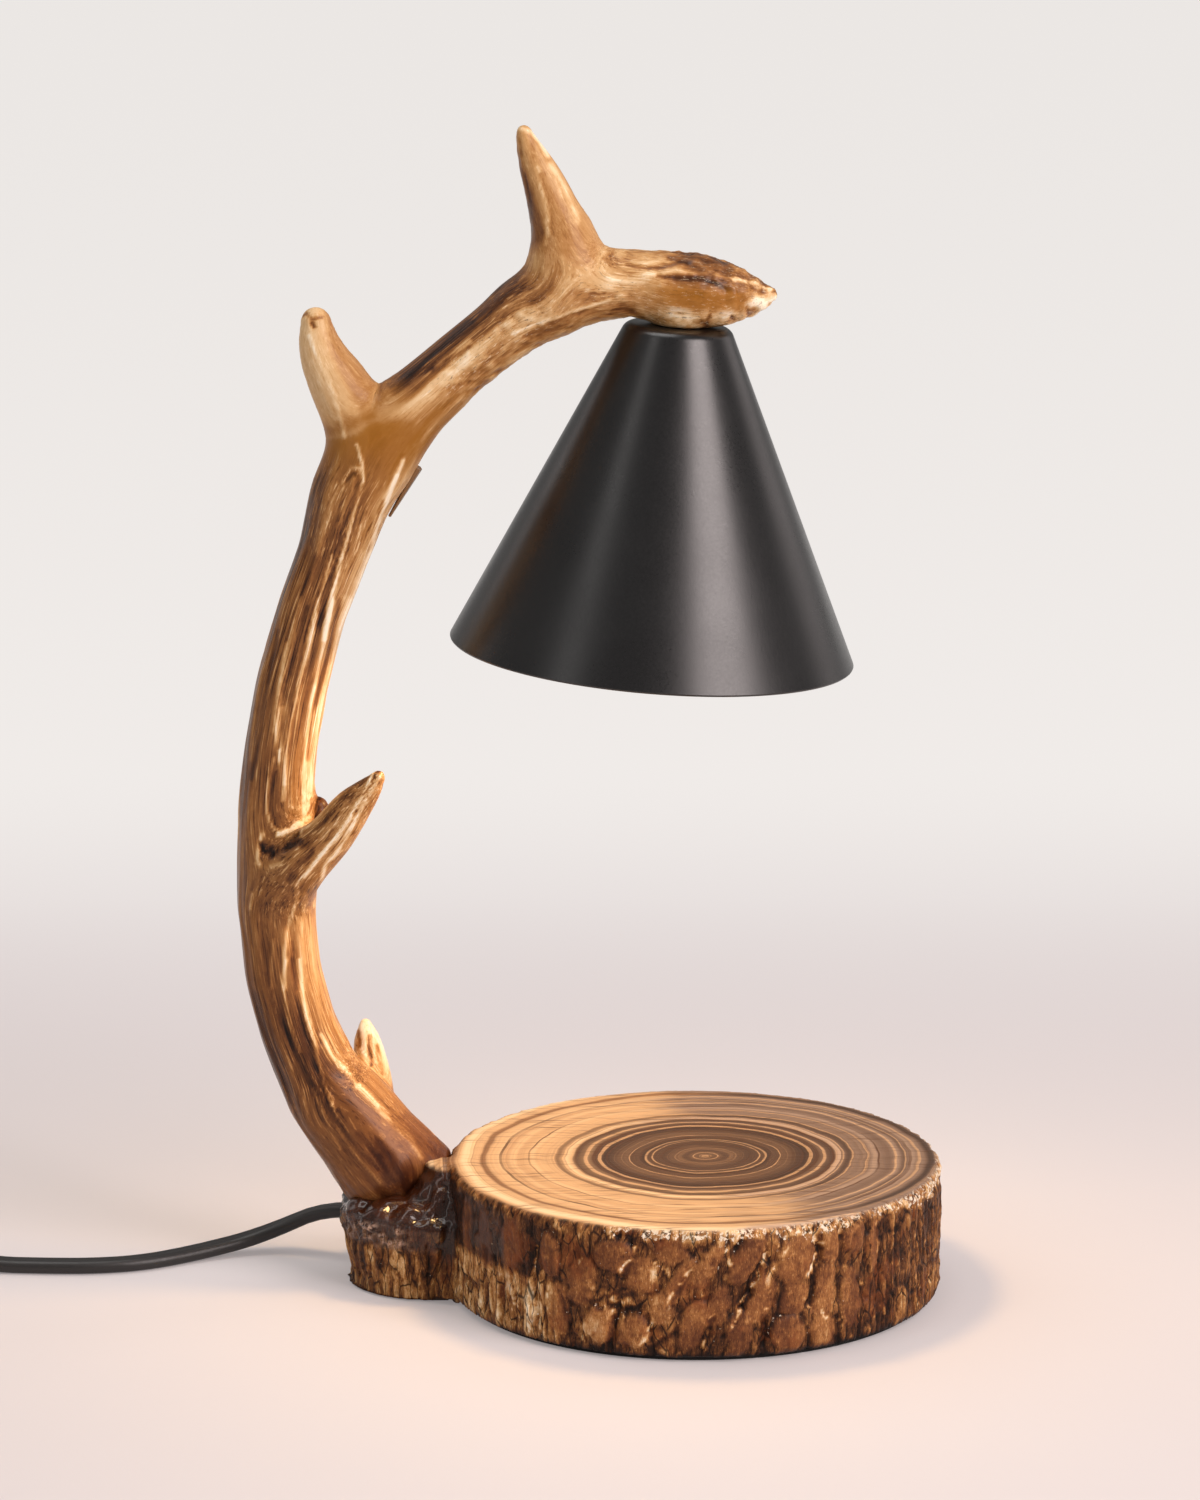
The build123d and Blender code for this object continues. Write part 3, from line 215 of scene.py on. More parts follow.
# bark flakes on the front: degrees from the front, height, half width, half height, lean, lift,
# and how warm and light the flake's face is
front_flakes = [
    (-66, 26, 3, 8, 4, 0.25, 0.02), (-57, 25, 3.4, 9, -3, 0.3, 0.05),
    (-47, 27, 4.2, 7, 3, 0.35, 0.1), (-35, 26, 3.2, 6.5, -6, 0.9, 0.06),
    (-33, 12, 3.2, 7.5, 4, 0.3, 0.12), (-27, 20, 4, 6.5, 8, 0.35, 0.08),
    (-19.3, 28, 5.4, 4.4, 0, 0.9, 0.16), (-12.8, 23.5, 4.4, 5, 12, 0.4, 0.18),
    (-5.7, 30.5, 4.6, 3.8, -8, 0.35, 0.12), (-22.6, 8.9, 4.2, 4.8, 0, 0.9, 0.22),
    (-14.6, 8.3, 4.3, 4.6, -10, 0.9, 0.24), (-8, 15, 3.2, 5, 20, 0.35, 0.14),
    (-3.9, 22, 2.6, 7, 26, 0.9, 0.14), (2, 26, 2.8, 7, 28, 0.9, 0.12),
    (-1, 10.5, 3.2, 7, 14, 0.4, 0.1), (4.5, 15.5, 2.8, 6, 24, 0.35, 0.12),
    (11.2, 28, 3.4, 7.8, 28, 0.9, 0.04), (9.5, 8.2, 3.4, 6.2, 6, 0.9, 0.06),
    (14.5, 17, 3, 7, 20, 0.35, 0.12), (22.8, 28, 5.2, 7.6, 14, 0.9, 0.15),
    (21, 7.1, 4.8, 5, -6, 0.9, 0.2), (22.5, 16.5, 3.8, 5, 10, 0.35, 0.12),
    (31.4, 29, 2.5, 5.4, 2, 0.9, 0.12), (30, 17, 3, 8, 8, 0.3, 0.08),
    (37.8, 30.5, 3.8, 5, 0, 0.9, -0.08), (29.5, 6, 4, 4, 0, 0.3, 0.16),
    (37.5, 14, 3.2, 8, -4, 0.3, 0.1), (45, 27, 2.2, 7, 2, 0.25, 0.1),
]
pale_cracks = [   # degrees from the front and height of each crack's corners
    [(-39.6, 27.0), (-40.2, 20.0), (-39.4, 12.0), (-38.6, 6.5)],
    [(-27.6, 33.0), (-29.0, 29.0), (-27.0, 26.5), (-28.2, 24.0)],
    [(-15.4, 27.5), (-17.0, 25.5), (-16.6, 22.0)], [(-9.6, 27.0), (-9.8, 23.0)],
    [(-1.5, 26.0), (-4.0, 21.5), (-6.5, 17.5), (-6.0, 15.0)],
    [(8.0, 33.5), (6.0, 30.0), (7.5, 27.0)],
    [(15.5, 29.0), (14.0, 23.0), (10.0, 16.0), (8.0, 10.0)],
    [(3.5, 13.0), (2.0, 8.0), (0.5, 3.0)], [(27.5, 33.5), (28.0, 27.0), (26.0, 22.0)],
    [(17.0, 34.5), (22.5, 36.0), (28.0, 33.0), (29.5, 30.0)], [(25.0, 15.0), (31.0, 9.0)],
    [(34.0, 31.0), (35.0, 35.5), (41.0, 35.5)], [(45.5, 32.0), (46.5, 24.0)],
    [(-12.5, 5.0), (-11.0, 9.0), (-9.5, 12.0)], [(20.0, 30.0), (16.0, 22.0), (15.5, 14.0)],
]
# lumps of dark resin round the antler's foot and in the notch: middle and half sizes
collar_lumps = [
    (-76.0, 7.0, 19.5, 18.5, 16.0, 5.5), (-88.5, -0.5, 21.0, 5.0, 5.0, 4.6),
    (-83.5, -7.5, 21.0, 5.4, 4.6, 4.6), (-76.5, -10.6, 20.8, 5.2, 4.2, 5.2),
    (-70.0, -10.8, 20.6, 4.2, 4.0, 4.8), (-71.5, -5.0, 24.6, 6.0, 5.0, 4.8),
    (-80.5, -5.5, 23.0, 5.6, 4.4, 4.2), (-91.0, 7.5, 20.5, 3.6, 5.0, 4.2),
    (-84.0, 22.0, 20.5, 6.0, 5.0, 4.4), (-73.0, 25.0, 20.5, 6.0, 4.6, 4.6),
    (-63.5, 21.5, 21.0, 5.0, 5.0, 7.0), (-68.5, -2.5, 27.5, 6.4, 6.0, 6.6),
    (-66.5, -4.0, 31.0, 5.0, 5.0, 5.0), (-64.6, -12.0, 19.0, 3.6, 4.0, 7.6),
    (-67.5, -9.0, 24.5, 4.0, 4.0, 5.2),
    (-66.6, -1.5, 34.6, 3.6, 5.0, 1.2), (-69.0, -0.5, 34.0, 3.2, 3.4, 1.2),
]


def cell_noise(cells, seed=0):
    """Smooth random values from -1 to 1, at places counted in cells."""
    low = np.floor(cells).astype(np.int64)
    part = cells - low
    part = part * part * (3.0 - 2.0 * part)
    total = np.zeros(len(cells))
    for corner in range(2 ** cells.shape[1]):
        step = np.array([corner >> axis & 1 for axis in range(cells.shape[1])])
        key = (low + step) @ np.array([374761393, 668265263, 974634777][:cells.shape[1]])
        key = (key + seed * 144269504) & 0xFFFFFFFF
        key = ((key ^ key >> 13) * 1274126177) & 0xFFFFFFFF
        weight = np.where(step, part, 1.0 - part).prod(axis=1)
        total += weight * ((key ^ key >> 16) / 2147483647.5 - 1.0)
    return total


def rough_noise(cells, layers, seed=0):
    """Cell noise with finer and weaker layers on top."""
    total = np.zeros(len(cells))
    for layer in range(layers):
        total += cell_noise(cells * 2.03 ** layer, seed + 17 * layer) * 0.5 ** layer
    return total


def ramp(value, low, high):
    """0 below low, 1 above high, and a soft step between them; low may be the larger one."""
    share = np.clip((value - low) / (high - low), 0.0, 1.0)
    return share * share * (3.0 - 2.0 * share)


def plates(around, up, width, height, seed):
    """Staggered plates: how near the border between two plates is, and each plate's own number."""
    column = around / width
    row = up / height
    nearest = np.full(len(column), 9.0)
    second = np.full(len(column), 9.0)
    number = np.zeros(len(column))
    for step_x in (-1, 0, 1):
        for step_y in (-1, 0, 1):
            cell = np.stack([np.floor(column) + step_x, np.floor(row) + step_y], axis=1)
            middle_x = cell[:, 0] + 0.5 + 0.42 * cell_noise(cell + 0.01, seed)
            middle_y = cell[:, 1] + 0.5 + 0.45 * cell_noise(cell + 0.01, seed + 5)
            far = np.hypot(column - middle_x, row - middle_y)
            own = cell_noise(cell + 0.01, seed + 9)
            closer = far < nearest
            second = np.where(closer, nearest, np.minimum(second, far))
            number = np.where(closer, own, number)
            nearest = np.minimum(nearest, far)
    return second - nearest, number


def to_lines(across, up, lines):
    """How far each place is from the nearest of some bent lines."""
    nearest = np.full(len(across), 1e3)
    for line in lines:
        for (x0, y0), (x1, y1) in zip(line, line[1:]):
            run_x, run_y = x1 - x0, y1 - y0
            share = ((across - x0) * run_x + (up - y0) * run_y) / (run_x ** 2 + run_y ** 2)
            share = np.clip(share, 0.0, 1.0)
            far = np.hypot(across - x0 - share * run_x, up - y0 - share * run_y)
            nearest = np.minimum(nearest, far)
    return nearest


def take(piece):
    """Selects one piece alone and makes it active."""
    bpy.ops.object.select_all(action="DESELECT")
    bpy.context.view_layer.objects.active = piece
    piece.select_set(True)


def in_edit_mode(piece, *steps):
    """Takes a piece, and runs edit steps on all of its mesh."""
    take(piece)
    bpy.ops.object.mode_set(mode="EDIT")
    bpy.ops.mesh.select_all(action="SELECT")
    for step, settings in steps:
        step(**settings)
    bpy.ops.object.mode_set(mode="OBJECT")


def place_part(piece, place, size=(1, 1, 1), turned=(0, 0, 0)):
    """Puts the piece just made at its place, for good."""
    piece.location, piece.scale, piece.rotation_euler = place, size, turned
    bpy.ops.object.transform_apply(location=True, rotation=True, scale=True)


def finish_with(piece, kind, name, **settings):
    """Adds a modifier to a piece and applies it."""
    added = piece.modifiers.new(name, kind)
    for setting, value in settings.items():
        setattr(added, setting, value)
    bpy.context.view_layer.objects.active = piece
    bpy.ops.object.modifier_apply(modifier=name)


def cast_copy(node_name, piece_name, voxel, smoothing, lumps=()):
    """A casting's own skin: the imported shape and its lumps, in fine even faces and rounded."""
    piece = nodes[node_name].copy()
    piece.data = nodes[node_name].data.copy()
    piece.name = piece.data.name = piece_name
    piece.parent = None
    for key in list(piece.keys()):
        del piece[key]
    bpy.context.collection.objects.link(piece)
    piece.hide_render = False
    in_edit_mode(piece, (bpy.ops.mesh.remove_doubles, {"threshold": same_place}))
    for *middle, half_x, half_y, half_z in lumps:
        bpy.ops.mesh.primitive_uv_sphere_add(segments=24, ring_count=16, radius=0.001)
        place_part(bpy.context.object, Vector(middle) / 1000, (half_x, half_y, half_z))
        piece.select_set(True)
        bpy.context.view_layer.objects.active = piece
        bpy.ops.object.join()
    finish_with(piece, "REMESH", "skin", mode="VOXEL", voxel_size=voxel)
    finish_with(piece, "SMOOTH", "rounding", factor=0.5, iterations=smoothing)
    bpy.ops.object.shade_smooth()
    return piece


def corners_of(piece):
    """The mesh's corners and their normals, in millimetres."""
    count = len(piece.data.vertices)
    place = np.zeros(count * 3)
    piece.data.vertices.foreach_get("co", place)
    normal = np.zeros(count * 3)
    piece.data.vertex_normals.foreach_get("vector", normal)
    return place.reshape(-1, 3) * 1000.0, normal.reshape(-1, 3)


def move_corners(piece, place):
    """Moves the mesh's corners to places given in millimetres."""
    piece.data.vertices.foreach_set("co", (place / 1000.0).ravel())
    piece.data.update()


def keep_mask(piece, name, values):
    """Keeps a painted value on the mesh, for the material to read."""
    layer = piece.data.attributes.new(name, "FLOAT", "POINT")
    layer.data.foreach_set("value", values.astype(np.float32))


def keep_grain(piece, ways):
    """Keeps the way along the grain on the mesh, for the material to read."""
    layer = piece.data.attributes.new("grain", "FLOAT_VECTOR", "POINT")
    layer.data.foreach_set("vector", ways.astype(np.float32).ravel())


bark_slice = cast_copy("base_slice", "bark_slice", casting_voxel, 3, collar_lumps)
place, normal = corners_of(bark_slice)
x, y, z = place.T
to_slice = np.hypot(x, y) - slice_radius
stump_here = stump_radius - stump_taper * (stump_top - z) / (stump_top - base_bottom)
to_stump = np.hypot(x - stump_x, y - stump_y) - stump_here
stump_side = (np.abs(to_stump) < np.abs(to_slice)) & (z < stump_top + 1.2)
# the lump of bark in the notch stands outside both circles
lump_y = np.interp(z, [base_bottom, 22.5, 28.75, 35.0], [-11.0, -8.5, -5.0, -2.0])
lump = (to_slice > 0.2) & ((to_stump > 0.2) | (z > stump_top - 0.5)) & (x < -57.0) & (y < 3.0)
collar_zone = ramp(to_slice, -0.2, 0.3) * ramp(z, 20.3, 21.8) * (x < -50.0)
lip = ramp(to_slice, -0.2, 0.3) * ramp(z, 33.8, 35.0) * (x < -50.0)
front_angle = np.degrees(np.arctan2(x, -y))
stump_angle = np.degrees(np.arctan2(x - stump_x, -(y - stump_y)))
lump_angle = np.arctan2(x - lump_x, -(y - lump_y))
around = np.where(
    stump_side, np.radians(stump_angle) * stump_radius + 400.0,
    np.radians(front_angle) * slice_radius,
)
around = np.where(lump, lump_angle * 6.5 + 800.0, around)
middle_x = np.where(lump, lump_x, np.where(stump_side, stump_x, 0.0))
middle_y = np.where(lump, lump_y, np.where(stump_side, stump_y, 0.0))
outward = np.stack([x - middle_x, y - middle_y, 0 * x], axis=1)
outward /= np.maximum(np.linalg.norm(outward, axis=1), 1e-6)[:, None]
off_skin = np.where(stump_side, to_stump, to_slice) * ~lump
faces_out = ramp((normal * outward).sum(axis=1), 0.05, 0.5)
on_side = np.where(lump, 1.0, off_skin > -2.5) * faces_out
above_floor = ramp(z, base_bottom + 0.1, base_bottom + 2.0)
on_side = on_side * (z > base_bottom + 0.2)
on_slice = ~(stump_side | lump)
sunk = ramp(-off_skin, 0.25, 1.0) * on_side


def bark_noise(wide, tall, seed, layers=1):
    """Noise over the unrolled bark, in cells of a width and a height."""
    return rough_noise(np.stack([around / wide, z / tall], axis=1), layers, seed)


# the bark's plates, cracks and fibres
wander = 1.6 * bark_noise(7.0, 9.0, 3)
lift = 3.0 * bark_noise(5.0, 12.0, 4)
border, plate_level = plates(around + wander, z + lift, 6.0, 15.0, 11)
small_border, small_level = plates(around + 0.6 * wander, z + lift, 2.3, 9.5, 23)
crack = ramp(border, 0.13, 0.02)
fine_crack = ramp(small_border, 0.16, 0.03)
fibres = bark_noise(0.95, 9.0, 31, 2)
swell = bark_noise(11.0, 16.0, 37)
grit = bark_noise(1.1, 1.1, 39, 3)
flake_lift, flake_rim, flake_face, flake_warm = np.zeros((4, len(x)))
seeded = np.random.default_rng(5)
side_flakes = [
    (angle + seeded.uniform(-3, 3), height + seeded.uniform(-3, 3), seeded.uniform(2.2, 4.2),
     seeded.uniform(4.0, 8.5), seeded.uniform(-16, 22), seeded.uniform(0.1, 0.4),
     seeded.uniform(-0.05, 0.2))
    for angle in range(100, 284, 8) for height in (9, 26)
]
ragged = 0.9 * bark_noise(2.6, 2.6, 43, 2)
for angle, height, half_width, half_height, lean, rise, warm in front_flakes + side_flakes:
    across = np.radians((front_angle - angle + 180) % 360 - 180) * slice_radius
    up = z - height
    tilt = math.radians(lean)
    side = (across * math.cos(tilt) - up * math.sin(tilt) + 0.7 * ragged) / half_width
    along = (across * math.sin(tilt) + up * math.cos(tilt) + 0.9 * ragged) / half_height
    reach = np.where(on_slice, (np.abs(side) ** 2.4 + np.abs(along) ** 2.4) ** (1 / 2.4), 9.0)
    face = ramp(reach, 1.08, 0.82)
    raised = rise * face * (1.0 - 0.25 * reach)
    covers = raised > flake_lift
    flake_lift = np.maximum(flake_lift, raised)
    near_rim = np.exp(-((reach - 1.08) / 0.10) ** 2) * ramp(along, -0.7, 0.2)
    flake_rim = np.maximum(np.where(reach < 0.95, 0.0, flake_rim), near_rim * min(1.0, rise + 0.2))
    flake_face = np.maximum(flake_face, face)
    flake_warm = np.where(covers, warm, flake_warm)
open_bark = 1.0 - 0.75 * flake_face
right_side = ramp(front_angle, 42.0, 52.0) * ramp(front_angle, 112.0, 98.0)
left_low = ramp(front_angle, -28.0, -38.0) * ramp(front_angle, -92.0, -80.0) * ramp(z, 19.5, 17.0)
left_low *= ~lump
fibrous = np.maximum(right_side, left_low)
relief = (
    0.30 * swell + 0.16 * plate_level * open_bark + 0.16 * small_level * open_bark
    - 0.42 * crack * open_bark * (1.0 - 0.6 * fibrous) - 0.26 * fine_crack * open_bark
    + (0.14 + 0.30 * fibrous) * fibres * (1.0 - 0.6 * flake_face) + 0.10 * grit
    + flake_lift - 0.16 * flake_rim
)
pale_gap = to_lines(
    np.radians(front_angle) * slice_radius + 0.6 * ragged, z + 0.5 * ragged,
    [[(math.radians(a) * slice_radius, h) for a, h in line] for line in pale_cracks],
)
crumbled = ramp(bark_noise(1.7, 1.9, 47, 3), -0.25, 0.35)
pale_crack = ramp(pale_gap, 0.75, 0.15) * crumbled * on_slice
relief -= 0.25 * ramp(pale_gap, 0.9, 0.2) * on_slice

# the crumbled upper rim, and the stump's fuller front, knobs and dark collar
rim_edge = 2.3 + 1.5 * bark_noise(3.2, math.inf, 51)
rim_edge += 0.7 * bark_noise(1.1, math.inf, 52) + 1.2 * ramp(front_angle, 44.0, 70.0)
rim = ramp(z, slice_top - rim_edge - 0.8, slice_top - rim_edge + 0.4) * on_slice
crumbs = bark_noise(1.5, 1.3, 57, 3)
relief = relief * (1.0 - 0.45 * rim) + rim * (0.45 * crumbs - 0.15)
knob_band = np.where(stump_side, ramp(z, 13.5, 15.5) * ramp(z, 21.5, 20.0), 0.0)
knobs = bark_noise(2.2, 2.0, 61, 2)
relief = relief + knob_band * (0.75 * knobs + 0.35)
stump_left = ramp(-stump_angle, 20.0, 70.0)
waist = ramp(z, 11.0, 2.5) * (0.3 + 0.9 * stump_left)
fuller = 0.8 * ramp(stump_angle, -40.0, 0.0) * ramp(stump_angle, 60.0, 40.0) * ramp(z, 2.0, 9.0)
relief = np.where(stump_side & ~lump, relief - waist + fuller, relief)
# the solid's flat flakes are softened, and its seams made uneven
evened = np.where(off_skin > 0, -0.75 * off_skin, -off_skin * (0.15 + 0.25 * ragged))
evened *= on_side > 0.3
relief = relief + np.where(lump, 0.0, np.clip(evened, -0.8, 0.6))
above_floor = above_floor * (1 - stump_side) + stump_side * np.maximum(above_floor, 0.8)
moved = place + outward * (relief * on_side * above_floor)[:, None]

# the sawn top, a little uneven along its rings, and the stump's dark top
on_top = ramp(normal[:, 2], 0.6, 0.95) * (z > slice_top - 1.5)
ring_way = np.hypot(x - 3.0, y - 1.0) + 1.3 * cell_noise(np.stack([x / 17.0, y / 17.0], axis=1), 71)
ring_steps = cell_noise(np.stack([ring_way / 1.7, 0 * x], axis=1), 73)
moved[:, 2] += on_top * (0.16 * ring_steps - 0.05) * ramp(to_slice, -0.5, -3.0)
foot_way = np.hypot((x - foot_x) / foot_half_x, (y - foot_y) / foot_half_y)
on_stump_top = ramp(normal[:, 2], 0.5, 0.9) * (z > stump_top - 2.0) * (z < stump_top + 2.0)
collar = ramp(foot_way, 1.70, 1.15) * on_stump_top
lumps = rough_noise(np.stack([x / 4.6, y / 4.6], axis=1), 2, 79)
drips = rough_noise(place / 6.0, 2, 91)
moved += normal * (collar_zone * (1.0 - lip) * drips)[:, None]
moved[:, 2] += on_stump_top * (1.0 - collar) * (0.6 * lumps + 0.1)
moved[:, 2] = np.where(z > base_bottom + 0.3, np.maximum(moved[:, 2], base_bottom + 0.2), z)
# the bark comes down past the pad's edge
skirt = ramp(off_skin, -1.3, -0.9) * ramp(z, 3.2, 1.6)
moved[:, 2] -= 1.1 * skirt * ~lump
move_corners(bark_slice, moved)

# what the painter sees: dark wash in the cracks, warm flakes, a dry brush of cream on the edges
patches = bark_noise(8.0, 7.0, 81, 2)
tone = (
    0.35 + 0.07 * swell + 0.09 * patches + 0.04 * plate_level + 0.03 * small_level
    + flake_warm * flake_face * 0.4 - 0.26 * sunk
    - 0.20 * crack * open_bark - 0.14 * fine_crack * open_bark - 0.07 * flake_rim
    + (0.05 + 0.13 * fibrous) * fibres * (1.0 - 0.7 * flake_face) + 0.05 * grit
)
shaded_left = ramp(front_angle, -24.0, -50.0) * ramp(front_angle, -100.0, -85.0)
shaded_left *= ramp(z, 17.0, 24.0)
tone += 0.32 * left_low - 0.02 * right_side - 0.10 * shaded_left
worn = bark_noise(6.0, 6.0, 83)
tone = tone * (1 - pale_crack) + pale_crack * (0.86 + 0.12 * worn)
tone += 0.28 * flake_rim * ramp(worn, 0.1, 0.6) * crumbled
scattered = ramp(bark_noise(1.3, 1.6, 87, 3), 0.62, 0.9)
tone += 0.32 * scattered * (1.0 - 0.6 * flake_face) * ramp(worn, -0.3, 0.3)
crusty = np.exp(-(((front_angle + 18.0) / 6.5) ** 2 + ((z - 16.0) / 2.8) ** 2)) * ~stump_side
tone += crusty * 0.42 * crumbs
creamy = np.exp(-(((front_angle + 24.0) / 4.5) ** 2 + ((z - 8.0) / 4.5) ** 2)) * ~stump_side
tone += creamy * (0.20 + 0.12 * crumbs)
crumb_patch = ramp(bark_noise(10.0, math.inf, 53), -0.35, 0.35)
crumb_patch = np.maximum(crumb_patch, ramp(front_angle, -20.0, -14.0) * ramp(front_angle, 6.0, 0.0))
crumb_patch *= ramp(front_angle, -42.0, -30.0)
crumb_patch = np.maximum(crumb_patch, ramp(front_angle, 40.0, 50.0))
tone = tone * (1 - rim) + rim * (0.40 + 0.20 * crumb_patch + (0.16 + 0.10 * crumb_patch) * crumbs)
stump_fibres = bark_noise(1.6, 11.0, 89, 2)
stump_tone = 0.53 + 0.24 * stump_fibres - 0.36 * sunk - 0.16 * fine_crack - 0.1 * crack
tone = np.where(stump_side & ~lump, stump_tone, tone)
tone = np.where(stump_side, tone * (1 - knob_band) + knob_band * (0.42 + 0.26 * knobs), tone)
lump_low = ramp(z, 15.0, 10.0)
lump_tone = (1 - lump_low) * (0.12 + 0.10 * fibres) + lump_low * (0.42 + 0.2 * fibres)
tone = np.where(lump, lump_tone, tone)
stump_dark = np.where(stump_side, ramp(z, 19.5, 21.0), 0.0)
notch = ramp(np.abs(front_angle + 79.0), 10.0, 3.0) * ramp(z, 14.0, 21.0) * ~stump_side
dark_top = np.maximum.reduce([on_stump_top, stump_dark, notch * (1.0 - rim) * 0.9, collar_zone])
tone = tone * (1 - dark_top) + dark_top * (0.13 + 0.08 * lumps + 0.10 * drips)
tone = tone * (1 - lip) + lip * (0.80 + 0.15 * drips)
cavity = (z < 18.0) & (to_slice < -3.0) & (to_stump < -3.0) | (z < base_bottom + 0.4)
tone = np.where(cavity & (on_side <= 0.3), 0.2, tone)
keep_mask(bark_slice, "tone", tone)
keep_mask(bark_slice, "sawn", np.maximum(on_top * ramp(to_slice, 0.3, -0.5), lip))
glossy = np.maximum.reduce([
    on_stump_top, stump_dark, collar_zone * (1.0 - lip), 0.6 * lump * ramp(z, 10.0, 16.0),
    0.7 * knob_band,
])
keep_mask(bark_slice, "lacquer", np.clip(glossy, 0, 1))
crumbly = rim * crumb_patch * (to_slice > -2.0) + 0.8 * pale_crack + 0.5 * flake_rim
keep_mask(bark_slice, "crumbly", np.clip(crumbly, 0, 1) * ~lump)
keep_mask(bark_slice, "flaky", flake_face * (1 - rim) * on_slice)
knobbly = knob_band * ramp(knobs, -0.2, 0.5) * ramp(z, 14.0, 17.0)
knobbly *= ramp(stump_angle, -80.0, -58.0) * ramp(stump_angle, 0.0, -16.0)
keep_mask(bark_slice, "knobbly", knobbly)
keep_grain(bark_slice, np.stack([around, z * 0.22, 0 * z], axis=1))



def clouds(tree, way, scale, detail=2.0, roughness=0.5):
    """The value of a cloudy pattern on the given way, which is a place or a single number."""
    flat = way.type == "VALUE"
    return add_node(tree, "TexNoise", {
        "W" if flat else "Vector": way, "Scale": scale, "Detail": detail, "Roughness": roughness,
    }, noise_dimensions="1D" if flat else "3D").outputs["Fac"]


def around_nothing(tree, value):
    """A pattern's value moved down, so that it lies on both sides of 0."""
    return sum_of(tree, -0.5, value)


def scaled(tree, way, scale):
    """A way stretched or squeezed along each axis."""
    return add_node(tree, "Mapping", {"Vector": way, "Scale": scale}).outputs[0]


def colour_steps(tree, value, *steps):
    """A colour that runs through the painter's mixes as the value rises."""
    strip = add_node(tree, "ValToRGB", {"Fac": value})
    elements = strip.color_ramp.elements
    for element, (position, colour) in zip(elements, (steps[0], steps[-1])):
        element.position, element.color = position, linear(*colour)
    for position, colour in steps[1:-1]:
        elements.new(position).color = linear(*colour)
    return strip.outputs["Color"]


def new_group(name, given, handed):
    """An empty node group, what it is given and what it hands back, as names and kinds."""
    group = bpy.data.node_groups.new(name, "ShaderNodeTree")
    for side, sockets in (("INPUT", given), ("OUTPUT", handed)):
        for socket, kind in sockets.items():
            group.interface.new_socket(socket, in_out=side, socket_type="NodeSocket" + kind)
    return group, group.nodes.new("NodeGroupInput").outputs, group.nodes.new("NodeGroupOutput")


def attribute(tree, name, output="Fac"):
    """A painted value that the mesh keeps."""
    return add_node(tree, "Attribute", attribute_name=name).outputs[output]


# The painter's mixes for both castings, from the dark wash to the cream dry brush. Streaks run
# along the grain, and speckles break the brush marks up.
resin_mixes = [
    (0.0, (19, 9, 5)), (0.14, (43, 23, 12)), (0.30, (84, 49, 25)), (0.44, (129, 83, 44)),
    (0.56, (167, 117, 66)), (0.68, (201, 157, 104)), (0.82, (227, 195, 150)),
    (1.0, (248, 233, 206)),
]
resin_paint, given, handed = new_group(
    "resin_paint", {"Tone": "Float", "Grain": "Vector", "Streaks": "Float", "Speckles": "Float"},
    {"Color": "Color", "Roughness": "Float", "Height": "Float"},
)
streak = clouds(resin_paint, given["Grain"], 1.15, 5.0, 0.62)
hair_way = scaled(resin_paint, given["Grain"], (1.0, 1.0, 0.45))
hair = clouds(resin_paint, hair_way, 3.9, 4.0, 0.6)
pale_hair = soft_step(resin_paint, hair, 0.56, 0.66)
dark_hair = soft_step(resin_paint, hair, 0.45, 0.36)
speckle = clouds(resin_paint, object_place(resin_paint), 520.0, 5.0, 0.7)
marks = sum_of(resin_paint, around_nothing(resin_paint, streak), pale_hair, 0.40)
marks = sum_of(resin_paint, marks, dark_hair, -0.34)
marks = maths(resin_paint, "MULTIPLY", marks, given["Streaks"])
grit = maths(resin_paint, "MULTIPLY", around_nothing(resin_paint, speckle), given["Speckles"])
brushed = sum_of(resin_paint, given["Tone"], sum_of(resin_paint, marks, grit))
feed(handed, {
    "Color": colour_steps(resin_paint, brushed, *resin_mixes),
    "Roughness": soft_step(resin_paint, brushed, 0.1, 0.9), "Height": brushed,
})

bark_resin, tree, shader = new_material("bark_resin", {
    "Specular IOR Level": 0.17, "Coat Roughness": 0.06,
})
flaky, crumbly, lacquer, knobbly, sawn = (
    attribute(tree, name) for name in ("flaky", "crumbly", "lacquer", "knobbly", "sawn")
)
bark = add_node(tree, "Group", {
    "Tone": attribute(tree, "tone"), "Grain": attribute(tree, "grain", "Vector"),
    "Streaks": 0.42, "Speckles": 0.34,
}, node_tree=resin_paint).outputs

# the sawn top: rings about a middle under the jar, pale and warm at the left and in front, dark
# grey-brown in the middle, and brown with thin pale rings at the right and the back
spot = object_place(tree)
about_middle = add_node(tree, "Mapping", {"Vector": spot, "Location": (-0.003, -0.001, 0.0)})
about_middle = about_middle.outputs[0]
flat_place = add_node(tree, "VectorMath", {
    0: about_middle, 1: (1.0, 1.0, 0.0),
}, operation="MULTIPLY").outputs[0]
distance = add_node(tree, "VectorMath", {0: flat_place}, operation="LENGTH").outputs["Value"]
wave = clouds(tree, flat_place, 38.0)
ripple = clouds(tree, flat_place, 210.0, 3.0)
ring_place = sum_of(tree, distance, around_nothing(tree, wave), 0.0045)
ring_place = sum_of(tree, ring_place, around_nothing(tree, ripple), 0.0005)
wide_rings = clouds(tree, ring_place, 210.0, 1.0)
thin_rings = clouds(tree, ring_place, 480.0, 2.0, 0.7)
apart = add_node(tree, "SeparateXYZ", {0: about_middle}).outputs
sideways = sum_of(tree, apart["X"], apart["Y"], 0.30)
sideways = sum_of(tree, sideways, around_nothing(tree, wave), 0.05)
ringwise = around_nothing(tree, wide_rings)
shadowed = soft_step(tree, sum_of(tree, sideways, ringwise, 0.06), -0.010, 0.016)
heart = soft_step(tree, sum_of(tree, ring_place, ringwise, 0.022), 0.044, 0.030)
